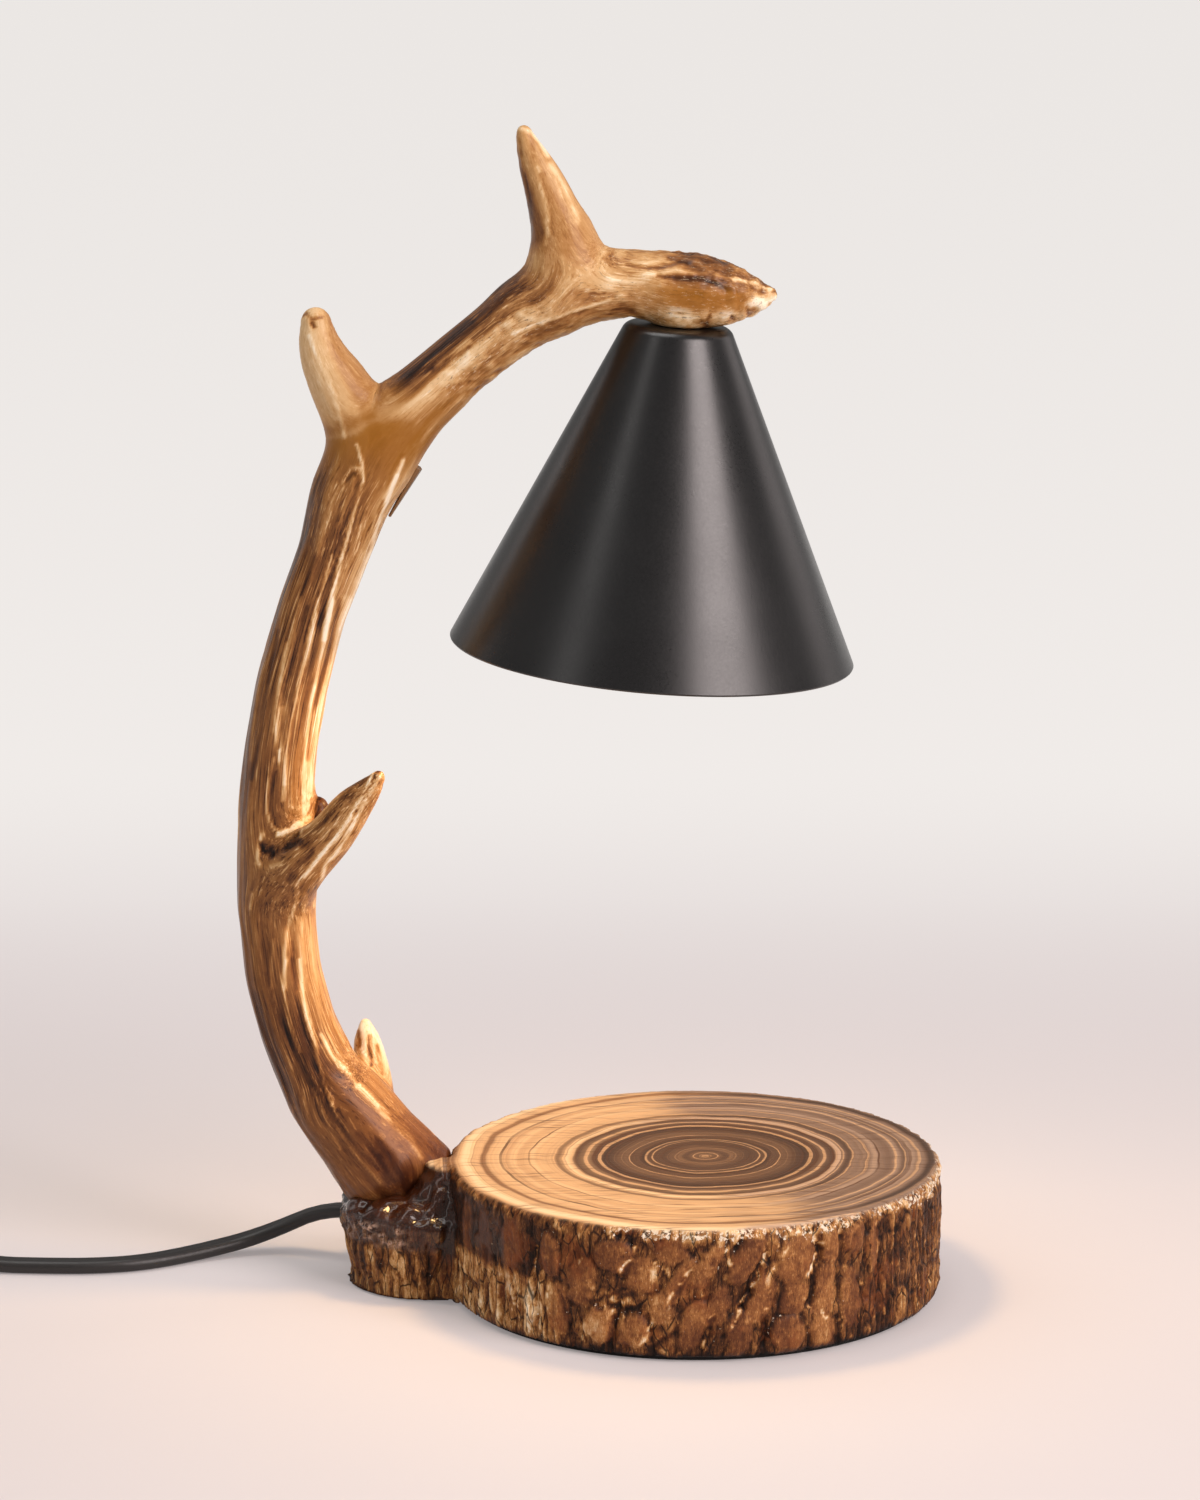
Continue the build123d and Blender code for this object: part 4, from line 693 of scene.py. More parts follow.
saw_streaks = clouds(tree, scaled(tree, flat_place, (55.0, 900.0, 1.0)), 1.0, 4.0)
pale_wood, brown_wood, heart_wood = (colour_steps(tree, wide_rings, *steps) for steps in (
    [
        (0.25, (130, 97, 68)), (0.42, (180, 147, 111)), (0.6, (196, 166, 130)),
        (0.8, (213, 190, 156)),
    ],
    [(0.25, (73, 58, 49)), (0.45, (112, 92, 79)), (0.58, (141, 121, 107)), (0.72, (176, 152, 132))],
    [(0.25, (58, 43, 34)), (0.5, (84, 64, 51)), (0.75, (112, 89, 71))],
))
ring_line = maths(
    tree, "MULTIPLY", soft_step(tree, thin_rings, 0.42, 0.30),
    soft_step(tree, wave, 0.35, 0.62, 0.25, 0.85),
)
wood = paint_over(
    tree, pale_wood, (brown_wood, shadowed), (heart_wood, heart),
    (linear(82, 55, 38), ring_line),
    (linear(200, 164, 126), soft_step(tree, thin_rings, 0.56, 0.66, 0.0, 0.55)),
    (linear(78, 52, 36), soft_step(tree, saw_streaks, 0.53, 0.68, 0.0, 0.6)),
)

# rust-brown patches, split lines, white crumbs on the rim and in the cracks, a wet dark wash on
# the collar, and grey-pink knobs on the stump
patch = clouds(tree, spot, 95.0, 4.0, 0.65)
crumb = clouds(tree, spot, 900.0, 4.0, 0.7)
wobble = add_node(tree, "TexNoise", {"Vector": spot, "Scale": 240.0, "Detail": 3.0})
split_way = add_node(tree, "VectorMath", {
    0: wobble.outputs["Color"], 1: (1.6, 0.45, 0.0), 2: attribute(tree, "grain", "Vector"),
}, operation="MULTIPLY_ADD").outputs[0]
split_near = add_node(tree, "TexVoronoi", {
    "Vector": split_way, "Scale": 0.42,
}, feature="DISTANCE_TO_EDGE").outputs["Distance"]
split = soft_step(tree, sum_of(tree, split_near, flaky, 0.05), 0.050, 0.010, 0.0, 0.85)
skin = paint_over(
    tree, bark["Color"],
    (linear(122, 62, 26), soft_step(tree, patch, 0.52, 0.66, 0.0, 0.45)),
    (linear(62, 34, 20), soft_step(tree, patch, 0.44, 0.32, 0.0, 0.55)),
    (linear(150, 88, 58), maths(tree, "MULTIPLY", flaky, 0.16)),
    (linear(30, 16, 10), split),
    (linear(232, 218, 196), soft_step(tree, sum_of(tree, crumb, crumbly, 0.20), 0.70, 0.77)),
    (linear(50, 23, 10), maths(tree, "MULTIPLY", lacquer, 0.75)),
    (linear(186, 154, 134), maths(tree, "MULTIPLY", knobbly, soft_step(tree, crumb, 0.42, 0.62))),
)


def bark_or_wood(of_bark, of_wood):
    """A number that the bark and the sawn top each have their own of."""
    return add_node(tree, "Mix", {0: sawn, 2: of_bark, 3: of_wood}, data_type="FLOAT").outputs[0]


bark_rough = sum_of(tree, soft_step(tree, bark["Roughness"], 0.0, 1.0, 0.46, 0.66), lacquer, -0.28)
wood_rough = soft_step(tree, wide_rings, 0.3, 0.7, 0.46, 0.60)
height = bark_or_wood(
    sum_of(tree, bark["Height"], split, -0.5), sum_of(tree, thin_rings, saw_streaks, 0.25),
)
bump = add_node(tree, "Bump", {"Height": height, "Strength": 0.55, "Distance": 0.0006})
feed(shader, {
    "Base Color": paint_over(tree, skin, (wood, sawn)),
    "Roughness": bark_or_wood(bark_rough, wood_rough), "Normal": bump.outputs["Normal"],
    "Coat Weight": maths(tree, "MULTIPLY", lacquer, 0.68),
})
bark_slice.data.materials.clear()
bark_slice.data.materials.append(bark_resin)
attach(bark_slice, "lamp")
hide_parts("base_slice")

# ---- under the base --------------------------------------------------------------------------
# A black foam pad that the lamp rests on, a plate over the wiring cavity with four countersunk
# screws, and inside it the cord's clamp, its bushing, two crimp caps and the bare cores.
fine_skin, given, handed = new_group(
    "fine_skin",
    {"Color": "Color", "Spread": "Float", "Scale": "Float", "Roughness": "Float", "Depth": "Float"},
    {"Color": "Color", "Roughness": "Float", "Normal": "Vector"},
)
skin_place = object_place(fine_skin)
dust = clouds(fine_skin, skin_place, given["Scale"], 5.0, 0.65)
handling = clouds(fine_skin, skin_place, 38.0, 3.0)
mottle = sum_of(
    fine_skin, around_nothing(fine_skin, dust), around_nothing(fine_skin, handling), 0.8,
)
paler = sum_of(fine_skin, 1.0, mottle, given["Spread"])
feed(handed, {
    "Color": add_node(fine_skin, "HueSaturation", {
        "Color": given["Color"], "Value": paler,
    }).outputs["Color"],
    "Roughness": sum_of(fine_skin, given["Roughness"], mottle, 0.22),
    "Normal": add_node(fine_skin, "Bump", {
        "Height": dust, "Strength": given["Depth"], "Distance": 0.0003,
    }).outputs["Normal"],
})


def finish_of(name, colour, roughness, spread=0.2, scale=900.0, depth=0.15, **shine):
    """A moulded, painted or metal finish with its own mottle and grain."""
    made, tree, shader = new_material(name, shine)
    skin = add_node(tree, "Group", {
        "Color": linear(*colour), "Spread": spread, "Scale": scale, "Roughness": roughness,
        "Depth": depth,
    }, node_tree=fine_skin).outputs
    feed(shader, {
        "Base Color": skin["Color"], "Roughness": skin["Roughness"], "Normal": skin["Normal"],
    })
    return made


def dress(material, *names):
    """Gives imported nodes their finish."""
    for name in names:
        nodes[name].data.materials.clear()
        nodes[name].data.materials.append(material)


steel = finish_of("zinc_steel", (188, 190, 194), 0.32, 0.12, 700.0, 0.08, Metallic=1.0)
dress(finish_of("pad_foam", (32, 31, 31), 0.9, 0.5, 1500.0, 0.7), "base_pad")
dress(finish_of("cover_plastic", (38, 34, 32), 0.5, 0.25, 1100.0, 0.3), "bottom_cover")
dress(steel, "cover_screws", "clamp_screws")
dress(finish_of("clamp_plastic", (210, 205, 192), 0.45), "cord_clamp")
dress(finish_of("bushing_rubber", (28, 26, 25), 0.6, 0.3, 1200.0, 0.25), "cord_bushing")
dress(finish_of("cap_nylon", (222, 216, 200), 0.4, 0.1, 800.0, 0.1), "wire_joints")
copper = finish_of("bare_copper", (196, 118, 78), 0.35, 0.2, 1500.0, 0.2, Metallic=1.0)
dress(copper, "cord_cores")

# ---- cast antler -----------------------------------------------------------------------------
# One resin casting that curves up from the stump and over the slice, with three tines, a low one
# and a rough-cut nose. It is moulded with long grooves, painted in browns and brushed with cream.
antler_foot = np.array([-80.0, 8.0, 20.0])   # the stations are measured from here
antler_voxel = 0.00072
# middle line and radius of each limb
beam = [
    (-3.8, 0, 12.0, 13.3), (-10.5, 0, 21.0, 12.0), (-18.0, 0, 30.7, 11.0),
    (-26.1, 0, 50.2, 10.3), (-30.0, 0, 65.5, 10.2), (-31.5, -0.5, 83.0, 10.0),
    (-31.4, -1, 97.7, 10.2), (-31.3, -1, 112.2, 9.6), (-29.6, -2, 128.0, 9.5),
    (-26.9, -2, 143.3, 9.5), (-21.3, -3, 164.4, 9.1), (-15.2, -3, 180.4, 9.4),
    (-10.4, -4, 195.7, 10.9), (-4.5, -4, 207.7, 11.6), (6.1, -5, 219.6, 9.5),
    (17.9, -5, 230.4, 8.5), (28.4, -6, 239.0, 8.6), (35.5, -6, 244.8, 9.6),
    (48.3, -7, 251.5, 9.7), (63.9, -8, 252.6, 8.6), (72.5, -8, 250.9, 10.0),
    (80.8, -8, 250.1, 10.0), (89.1, -8, 249.5, 7.9), (95.3, -8, 249.3, 4.9),
    (100.3, -8, 249.8, 1.6),
]
top_tine = [
    (45.0, -7, 250.0, 8.5), (46.0, -7, 258.0, 9.6), (45.2, -6, 264.7, 8.6), (42.9, -6, 271.0, 6.6),
    (40.7, -6, 277.3, 5.7), (38.1, -6, 283.5, 4.6), (36.0, -6, 288.4, 3.0), (35.0, -6, 291.6, 2.1),
]
rear_tine = [
    (-2.0, -4, 205.0, 6.0), (-5.6, -4, 210.4, 8.0), (-10.0, -4, 218.3, 8.4),
    (-14.0, -4, 226.3, 7.7), (-17.0, -4, 231.6, 6.4), (-18.7, -4, 236.8, 5.3),
    (-19.3, -4, 242.3, 3.8),
]
front_tine = [
    (-31.0, -1, 85.0, 6.6), (-29.3, -6, 90.0, 7.6), (-23.9, -12, 98.2, 7.1),
    (-15.9, -16, 106.9, 6.1), (-10.4, -19, 115.2, 5.2), (-5.0, -22, 121.4, 3.2),
    (-3.0, -23, 124.4, 1.8),
]
low_tine = [
    (-13.0, 4, 18.0, 5.0), (-8.5, 8, 24.0, 5.4), (-6.3, 10.5, 30.0, 5.2), (-7.0, 11.5, 37.3, 4.3),
    (-8.2, 12, 44.4, 3.4), (-8.6, 12, 48.6, 1.2),
]
root = [
    (-13.5, 0, 29.5, 9.6), (-10.4, 0, 26.0, 9.8), (-3.8, 0, 18.6, 9.4), (3.8, 0, 13.0, 8.5),
    (9.6, 0, 10.0, 7.5), (16.0, 0, 7.0, 7.0),
]
stub = [
    (-25.0, -3, 99.0, 4.5), (-21.5, -2, 104.0, 3.2), (-19.7, -1.5, 108.0, 2.5),
    (-19.3, -1, 111.0, 2.1),
]
stub_lump = [(-99.5, 6.7, 127.5, 2.2, 2.2, 5.5)]    # where the stub grows from, and half sizes
# where each limb starts along the beam, and how light it is painted at its root and its tip
limbs = [
    (beam, 0.0, 0.40, 0.50), (top_tine, 285.0, 0.60, 0.63), (rear_tine, 222.0, 0.56, 0.67),
    (front_tine, 86.0, 0.46, 0.60), (low_tine, 16.0, 0.42, 0.93), (root, 0.0, 0.44, 0.30),
    (stub, 100.0, 0.36, 0.22),
]
limb_blend = 2.0        # how softly the limbs run into each other, in millimetres
limb_step, limb_rounds = 0.8, 12    # the middle lines' steps, and how often they are evened
weight_blend = 2.2      # and how softly their grain and paint do
# brush strokes, carved lines and painted highlights on the front: half width, how much lighter,
# how much higher, and the line, drawn across and up as the front is looked at from a little above
front_strokes = [
    (0.9, 0.3, 0.15, [(-103.9, 183.5), (-106.5, 173.7), (-109.3, 162.0), (-110.4, 152.9),
        (-110.1, 147.0), (-109.2, 141.7), (-108.6, 135.2)]),
    (1.4, 0.26, 0.1, [(-108.4, 156.1), (-109.9, 149.6), (-110.0, 141.7)]),
    (0.6, 0.34, 0.3, [(-99.2, 183.5), (-101.1, 173.7), (-104.2, 162.0), (-105.4, 156.1),
        (-106.8, 152.2), (-108.0, 143.0), (-109.0, 131.2)]),
    (0.5, 0.38, 0.3, [(-95.4, 183.5), (-97.2, 175.0), (-99.4, 164.6), (-101.3, 156.1),
        (-102.5, 147.0), (-103.4, 137.8), (-103.7, 127.3), (-104.2, 121.7)]),
    (1.0, -0.2, -0.45, [(-97.4, 183.5), (-98.5, 176.3), (-100.7, 166.6), (-102.2, 157.4),
        (-103.5, 148.3), (-104.0, 141.7)]),
    (1.7, 0.36, 0.25, [(-91.5, 183.5), (-94.1, 171.8), (-96.7, 160.7), (-99.5, 152.9),
        (-100.9, 144.3), (-102.0, 133.8), (-102.6, 124.6)]),
    (0.6, -0.25, -0.4, [(-93.4, 183.5), (-95.5, 173.1), (-98.1, 164.0), (-99.9, 157.4),
        (-101.7, 149.6), (-102.4, 141.7)]),
    (0.5, -0.26, -0.35, [(-102.0, 181.5), (-104.7, 171.8), (-107.4, 162.0), (-108.7, 156.1)]),
    (0.5, -0.24, -0.4, [(-109.9, 175.7), (-112.0, 165.3), (-113.4, 157.4), (-114.4, 149.6),
        (-116.0, 141.7), (-117.3, 136.5)]),
    (0.5, 0.14, 0.15, [(-111.7, 177.0), (-113.9, 167.2), (-115.4, 158.7), (-116.6, 149.6),
        (-117.2, 141.7)]),
    (2.2, -0.1, 0, [(-116.7, 155.5), (-118.3, 143.0), (-118.9, 131.2), (-119.4, 118.0),
        (-119.0, 104.8)]),
    (0.3, 0.34, 0.2, [(-111.2, 141.7), (-113.0, 135.2), (-113.2, 127.9), (-112.1, 124.3),
        (-110.4, 122.3)]),
    (0.3, -0.2, -0.2, [(-110.7, 138.4), (-112.4, 131.9), (-112.3, 127.3), (-110.8, 124.0)]),
    (1.7, -0.34, -0.9, [(-115.1, 118.7), (-113.3, 116.1), (-110.2, 116.7), (-107.1, 119.0),
        (-104.6, 122.0)]),
    (0.8, 0.22, 0.25, [(-116.0, 114.1), (-113.2, 112.9), (-109.6, 113.9)]),
    # a painted highlight: this light stroke in the scar's hollow stands in for a glint
    (1.1, 0.6, 0.35, [(-109.7, 122.0), (-107.3, 122.9), (-105.1, 124.1)]),
    (0.5, 0.35, 0.2, [(-114.5, 122.0), (-115.5, 119.0), (-115.8, 115.4), (-115.1, 113.6)]),
    (2.2, -0.42, -0.1, [(-102.8, 119.2), (-99.6, 122.1), (-96.4, 126.5), (-94.0, 129.4),
        (-91.1, 132.6), (-88.2, 136.3), (-85.0, 138.6)]),
    (0.8, -0.45, -0.35, [(-82.5, 139.4), (-83.9, 137.1), (-85.7, 133.9), (-87.3, 131.6),
        (-89.4, 127.6)]),
    (0.35, 0.45, 0.3, [(-103.0, 110.5), (-98.8, 116.3), (-94.5, 121.3), (-91.1, 126.0),
        (-88.7, 130.0), (-86.5, 133.9), (-84.4, 138.6)]),
    (0.5, 0.42, 0.2, [(-82.8, 137.9), (-85.0, 133.9), (-86.6, 131.6), (-87.9, 128.7),
        (-90.0, 124.7), (-92.7, 120.0), (-95.4, 116.0), (-97.5, 113.9), (-99.6, 107.3),
        (-101.0, 102.6)]),
    (0.35, 0.28, 0.2, [(-105.3, 108.6), (-101.5, 113.1), (-97.3, 117.8)]),
    (1.2, -0.3, 0, [(-106.9, 109.9), (-104.2, 113.6), (-101.0, 117.3)]),
    (1.8, -0.5, -0.3, [(-114.3, 118.8), (-111.7, 117.3), (-108.0, 118.3), (-104.8, 120.4)]),
    # a painted highlight, again in the scar's hollow
    (0.5, 0.75, 0.3, [(-110.3, 121.5), (-107.9, 122.8), (-104.2, 124.9)]),
    (0.4, 0.3, 0.2, [(-104.8, 106.8), (-106.8, 100.8), (-108.2, 96.2), (-109.0, 90.2),
        (-109.0, 80.9)]),
    (0.7, 0.22, 0.2, [(-102.8, 106.1), (-103.8, 100.8), (-104.9, 94.2), (-104.6, 88.2),
        (-104.0, 80.9)]),
    (0.3, 0.28, 0.2, [(-117.3, 106.1), (-118.0, 102.2)]),
    (0.3, 0.26, 0.2, [(-111.8, 93.5), (-112.5, 86.9), (-112.4, 80.9)]),
    (0.8, -0.22, -0.3, [(-106.9, 92.9), (-106.6, 86.2), (-105.7, 80.9)]),
    (0.5, 0.34, 0.3, [(-108.5, 88.4), (-109.8, 83.5), (-108.9, 77.3), (-107.7, 71.2),
        (-105.4, 63.7)]),
    (0.3, 0.4, 0.25, [(-105.2, 88.4), (-104.5, 81.0), (-103.5, 73.6), (-101.0, 65.6),
        (-99.2, 56.4), (-96.9, 50.2), (-94.7, 44.6)]),
    (0.9, -0.24, -0.5, [(-106.7, 88.4), (-106.1, 81.0), (-104.6, 72.4), (-102.2, 63.7),
        (-99.8, 55.1), (-97.6, 48.9), (-92.1, 39.0)]),
    (0.9, -0.2, -0.45, [(-103.3, 86.5), (-102.1, 79.8), (-100.9, 72.4), (-99.3, 66.2)]),
    (0.7, -0.26, -0.5, [(-114.3, 84.7), (-112.6, 77.9), (-109.9, 71.2), (-105.4, 62.5),
        (-102.4, 55.7), (-99.4, 48.9)]),
    (0.3, 0.36, 0.2, [(-101.7, 53.6), (-99.9, 49.5), (-98.2, 45.2), (-96.5, 40.9),
        (-94.6, 37.4)]),
    (0.4, 0.3, 0.2, [(-95.2, 42.7), (-92.8, 39.0), (-89.7, 34.6), (-86.1, 30.9), (-83.6, 28.1)]),
    (0.6, -0.26, -0.4, [(-96.4, 48.3), (-93.3, 42.1), (-89.7, 37.1), (-84.8, 32.1)]),
    (1.8, 0.16, 0.1, [(-105.2, 81.0), (-102.6, 74.2), (-99.3, 68.1), (-95.0, 61.3), (-90.8, 55.7),
        (-87.1, 52.0)]),
    (0.6, 0.28, 0.2, [(-99.6, 68.1), (-96.3, 61.9), (-91.4, 56.4), (-87.7, 52.0), (-84.7, 48.9)]),
    (1.6, -0.1, -0.1, [(-117.2, 79.2), (-115.1, 71.2), (-111.6, 61.9)]),
    (1.8, 0.15, 0, [(-108.5, 58.8), (-104.3, 51.4), (-99.5, 42.7), (-94.6, 34.6), (-89.8, 29.0),
        (-84.9, 23.4)]),
    (4.3, -0.28, 0, [(-84.8, 37.7), (-81.1, 34.0), (-76.9, 29.0), (-75.1, 24.0)]),
    (1.6, -0.2, -0.1, [(-89.7, 41.5), (-84.8, 35.2), (-81.2, 29.0)]),
    (1.0, 0.14, 0.1, [(-92.1, 45.2), (-88.4, 41.5), (-84.8, 37.1)]),
    # a painted highlight: this light stroke down the foot's front stands in for a sheen
    (1.2, 0.32, 0.1, [(-89.6, 53.9), (-84.7, 48.9), (-79.8, 44.0), (-76.2, 40.2), (-73.0, 35.0)]),
    (2.5, -0.14, 0, [(-77.4, 45.2), (-72.5, 39.6), (-67.0, 35.2)]),
    (1.0, 0.44, 0.2, [(-89.5, 69.9), (-88.6, 63.7), (-87.7, 59.4)]),
    (0.6, -0.55, -0.5, [(-90.4, 68.1), (-90.2, 64.4)]),
    (0.6, -0.5, -0.5, [(-87.5, 66.8), (-87.1, 61.9), (-86.7, 59.4)]),
    (0.5, -0.4, -0.4, [(-85.2, 64.4), (-84.6, 60.6), (-83.7, 57.0)]),
    (2.4, 0.14, 0, [(-93.3, 212.2), (-96.2, 203.6), (-98.3, 196.7)]),
    (0.8, -0.28, -0.6, [(-88.1, 212.8), (-91.2, 203.6), (-93.9, 195.5), (-96.5, 186.9),
        (-99.2, 177.0)]),
    (0.4, 0.42, 0.35, [(-86.9, 214.5), (-89.1, 207.1), (-91.2, 199.5), (-93.7, 191.5),
        (-95.7, 182.8), (-97.5, 173.0)]),
    (0.4, 0.4, 0.3, [(-88.4, 223.7), (-86.9, 218.0), (-86.7, 214.4)]),
    (0.4, 0.4, 0.3, [(-95.3, 194.9), (-97.3, 188.0), (-99.7, 180.5), (-101.9, 173.0)]),
    (0.4, 0.38, 0.25, [(-92.5, 194.9), (-95.0, 186.9), (-96.5, 181.1), (-98.1, 173.0)]),
    (0.7, -0.22, -0.4, [(-100.0, 194.3), (-103.2, 186.9), (-105.6, 179.9), (-107.4, 173.0)]),
    (0.7, -0.2, -0.4, [(-95.8, 194.3), (-98.5, 185.7), (-100.3, 179.3), (-102.2, 173.0)]),
    (0.4, 0.34, 0.2, [(-78.3, 215.7), (-81.3, 208.2), (-83.6, 202.4), (-85.6, 194.9),
        (-88.5, 188.0), (-89.8, 182.8)]),
    (0.5, 0.28, 0.2, [(-76.5, 219.7), (-78.3, 215.7), (-81.4, 209.9)]),
    (0.5, -0.18, -0.3, [(-76.8, 220.9), (-80.1, 213.4), (-83.0, 205.9)]),
    (0.4, -0.35, -0.5, [(-91.1, 214.5), (-89.3, 216.3), (-88.1, 215.1), (-88.8, 212.8)]),
    (0.4, 0.25, 0.3, [(-92.3, 214.0), (-89.9, 217.4), (-87.6, 217.4), (-86.9, 214.5)]),
    (1.8, 0.3, 0.1, [(-85.8, 194.9), (-88.6, 186.9), (-91.0, 180.5), (-92.8, 173.0)]),
    (1.8, -0.12, 0, [(-98.1, 215.7), (-101.1, 207.1), (-103.5, 199.5), (-106.7, 189.8)]),
    (3.5, 0.06, 0, [(-102.3, 255.8), (-99.5, 246.1), (-97.3, 238.6), (-95.0, 231.2)]),
    (3.5, -0.14, 0, [(-85.2, 231.2), (-83.5, 224.3), (-82.9, 218.6)]),
    (0.5, 0.16, 0.15, [(-100.9, 251.8), (-97.8, 244.4), (-95.0, 238.1), (-93.2, 232.4),
        (-91.6, 225.5)]),
    (2.7, -0.38, -0.2, [(-78.7, 238.6), (-72.3, 243.2), (-65.3, 249.5), (-58.9, 254.6)]),
    (0.7, -0.4, -0.4, [(-68.3, 242.7), (-63.0, 246.1), (-58.9, 248.6)]),
    (0.6, 0.28, 0.2, [(-67.7, 243.8), (-62.4, 247.5), (-58.9, 250.1)]),
    (0.5, -0.55, -0.9, [(-100.2, 255.1), (-99.5, 254.1)]),
    (0.4, -0.35, -0.5, [(-103.7, 256.9), (-101.7, 257.8), (-100.0, 256.1), (-97.4, 256.8)]),
    (3.5, 0.12, 0, [(-73.6, 231.2), (-67.7, 237.5), (-58.9, 244.4)]),
    (0.8, -0.22, -0.4, [(-46.9, 303.4), (-45.6, 296.6), (-43.2, 288.4), (-43.2, 281.7),
        (-44.2, 273.9), (-47.7, 268.1), (-52.7, 261.7)]),
    (0.9, -0.12, -0.2, [(-42.9, 302.9), (-42.6, 297.6)]),
    (0.8, 0.2, 0.1, [(-41.6, 294.2), (-40.6, 289.4), (-39.3, 284.6), (-38.7, 279.7),
        (-39.2, 274.9)]),
    (1.7, 0.22, 0.1, [(-37.6, 295.0), (-35.2, 290.4), (-33.2, 285.5), (-31.4, 281.0)]),
    (0.4, -0.12, -0.2, [(-40.6, 292.8), (-38.8, 287.5), (-37.7, 282.6), (-37.3, 277.8)]),
    (0.6, 0.3, 0.2, [(-46.1, 304.8), (-43.2, 303.9), (-40.6, 301.5), (-38.7, 297.6)]),
    (1.5, 0.1, 0, [(-34.8, 271.0), (-38.8, 267.1), (-43.8, 263.2), (-48.7, 258.3),
        (-52.7, 253.9)]),
    (2.5, 0.12, 0.05, [(-52.7, 253.9), (-47.7, 257.4), (-44.8, 259.8)]),
    (1.1, -0.14, -0.1, [(-18.0, 272.7), (-11.1, 272.7), (-3.2, 272.4), (2.7, 271.5),
        (8.6, 268.8)]),
    (0.5, 0.12, 0.3, [(-17.0, 270.5), (-14.1, 270.0), (-10.1, 270.5), (-7.6, 270.0)]),
    (0.5, -0.34, -0.3, [(-18.0, 269.5), (-14.1, 268.5), (-9.1, 269.0), (-5.2, 270.0),
        (-2.2, 270.3)]),
    (0.6, 0.18, 0.3, [(-14.1, 266.6), (-9.1, 267.1), (-5.2, 267.8), (-2.7, 267.4), (2.2, 267.4)]),
    (0.6, -0.40, -0.5, [(-10.1, 266.6), (-5.2, 266.1), (-0.3, 265.9), (4.2, 264.9), (7.7, 263.0),
        (10.6, 262.5)]),
    (0.4, -0.15, -0.3, [(-7.6, 271.5), (-2.2, 270.3), (0.7, 268.3)]),
    # a painted highlight along the nose's side
    (0.4, 0.2, 0.2, [(4.7, 266.9), (10.6, 265.9), (15.6, 264.9), (19.5, 263.5)]),
    (0.5, -0.4, -0.4, [(16.5, 264.9), (19.5, 263.2), (21.0, 262.7)]),
    (1.7, 0.10, 0.1, [(-5.2, 264.2), (0.7, 263.5), (5.7, 262.0), (11.6, 260.6), (17.6, 260.1)]),
    (2.2, 0.26, 0, [(-6.1, 257.4), (-1.2, 256.2), (3.7, 256.7), (9.7, 258.1), (15.6, 260.1),
        (20.0, 261.5)]),
    (0.4, -0.45, -0.6, [(-4.2, 262.0), (-1.7, 261.5), (1.2, 261.8)]),
    (0.4, -0.5, -0.7, [(2.3, 254.7), (3.2, 256.7)]),
    (0.3, -0.5, -0.6, [(12.9, 258.6), (13.4, 257.1)]),
    (0.3, -0.45, -0.6, [(8.9, 256.4), (9.4, 255.9)]),
    (0.4, -0.3, -0.4, [(-22.0, 258.1), (-18.0, 257.8), (-14.0, 256.4)]),
    (0.3, -0.25, -0.3, [(-27.9, 261.7), (-24.0, 262.1)]),
    (0.4, 0.24, 0.2, [(-23.0, 266.1), (-19.0, 265.1), (-14.1, 264.9)]),
    (0.3, 0.26, 0.2, [(-47.8, 252.0), (-38.8, 255.4), (-29.9, 258.3), (-23.0, 260.3)]),
    (0.3, -0.16, -0.3, [(-44.8, 251.5), (-36.8, 254.9), (-28.9, 257.8)]),
    # painted highlights: these two light strokes low on the nose stand in for glints
    (0.5, 0.45, 0.2, [(19.5, 260.8), (21.5, 261.8)]),
    (0.8, 0.5, 0.1, [(9.6, 265.8), (14.0, 265.0), (18.8, 263.8)]),
    (1.5, -0.4, 0, [(-82.8, 140.8), (-84.2, 138.0)]),
]
front_tilt = math.radians(13.1)
stroke_body, stroke_relief = 0.75, 0.55     # of the listed half width and height
bristles_from = 0.65        # strokes wider than this show the brush's bristles
nose_seat = np.array([-4.8, 0.0, 263.0])


def finer(stations):
    """A limb's stations, drawn through in short even steps with smooth bends."""
    table = np.array(stations, float)
    table[:, :3] += antler_foot
    runs = np.linalg.norm(np.diff(table[:, :3], axis=0), axis=1)
    lengths = np.concatenate([[0.0], np.cumsum(runs)])
    steps = np.arange(0.0, lengths[-1], limb_step)
    fine = np.stack([np.interp(steps, lengths, table[:, k]) for k in range(4)], axis=1)
    for _ in range(limb_rounds):
        fine[1:-1] = (fine[:-2] + 2.0 * fine[1:-1] + fine[2:]) / 4.0
    return fine, steps


def drawn_limbs(place):
    """How far each place is outside each limb, and its way across and along the limb."""
    outsides, ways, aways = [], [], []
    for stations, start, root_tone, tip_tone in limbs:
        fine, steps = finer(stations)
        heading = np.gradient(fine[:, :3], axis=0)
        heading /= np.linalg.norm(heading, axis=1)[:, None]
        frontward = np.array([0.0, -1.0, 0.0]) + heading * heading[:, 1:2]
        frontward /= np.linalg.norm(frontward, axis=1)[:, None]
        inward = np.cross(heading, frontward)
        far = np.full(len(place), 1e9)
        nearest = np.zeros(len(place), int)
        for i, station in enumerate(fine[:, :3]):
            gap = ((place - station) ** 2).sum(axis=1)
            closer = gap < far
            far = np.where(closer, gap, far)
            nearest = np.where(closer, i, nearest)
        offset = place - fine[nearest, :3]
        outsides.append(np.sqrt(far) - fine[nearest, 3])
        aways.append(offset / np.sqrt(far)[:, None])
        ways.append((np.stack([
            (offset * frontward[nearest]).sum(axis=1), (offset * inward[nearest]).sum(axis=1),
            steps[nearest] + (offset * heading[nearest]).sum(axis=1) + start,
        ], axis=1), steps[nearest] / steps[-1]))
    return np.array(outsides), ways, np.array(aways)


def blended(outsides):
    """How far each place is outside all the limbs together, with soft hollows between them."""
    low = outsides.min(axis=0)
    return low - limb_blend * np.log(np.exp((low - outsides) / limb_blend).sum(axis=0))


antler = cast_copy("antler_arm", "antler", antler_voxel, 8, stub_lump)
place, normal = corners_of(antler)
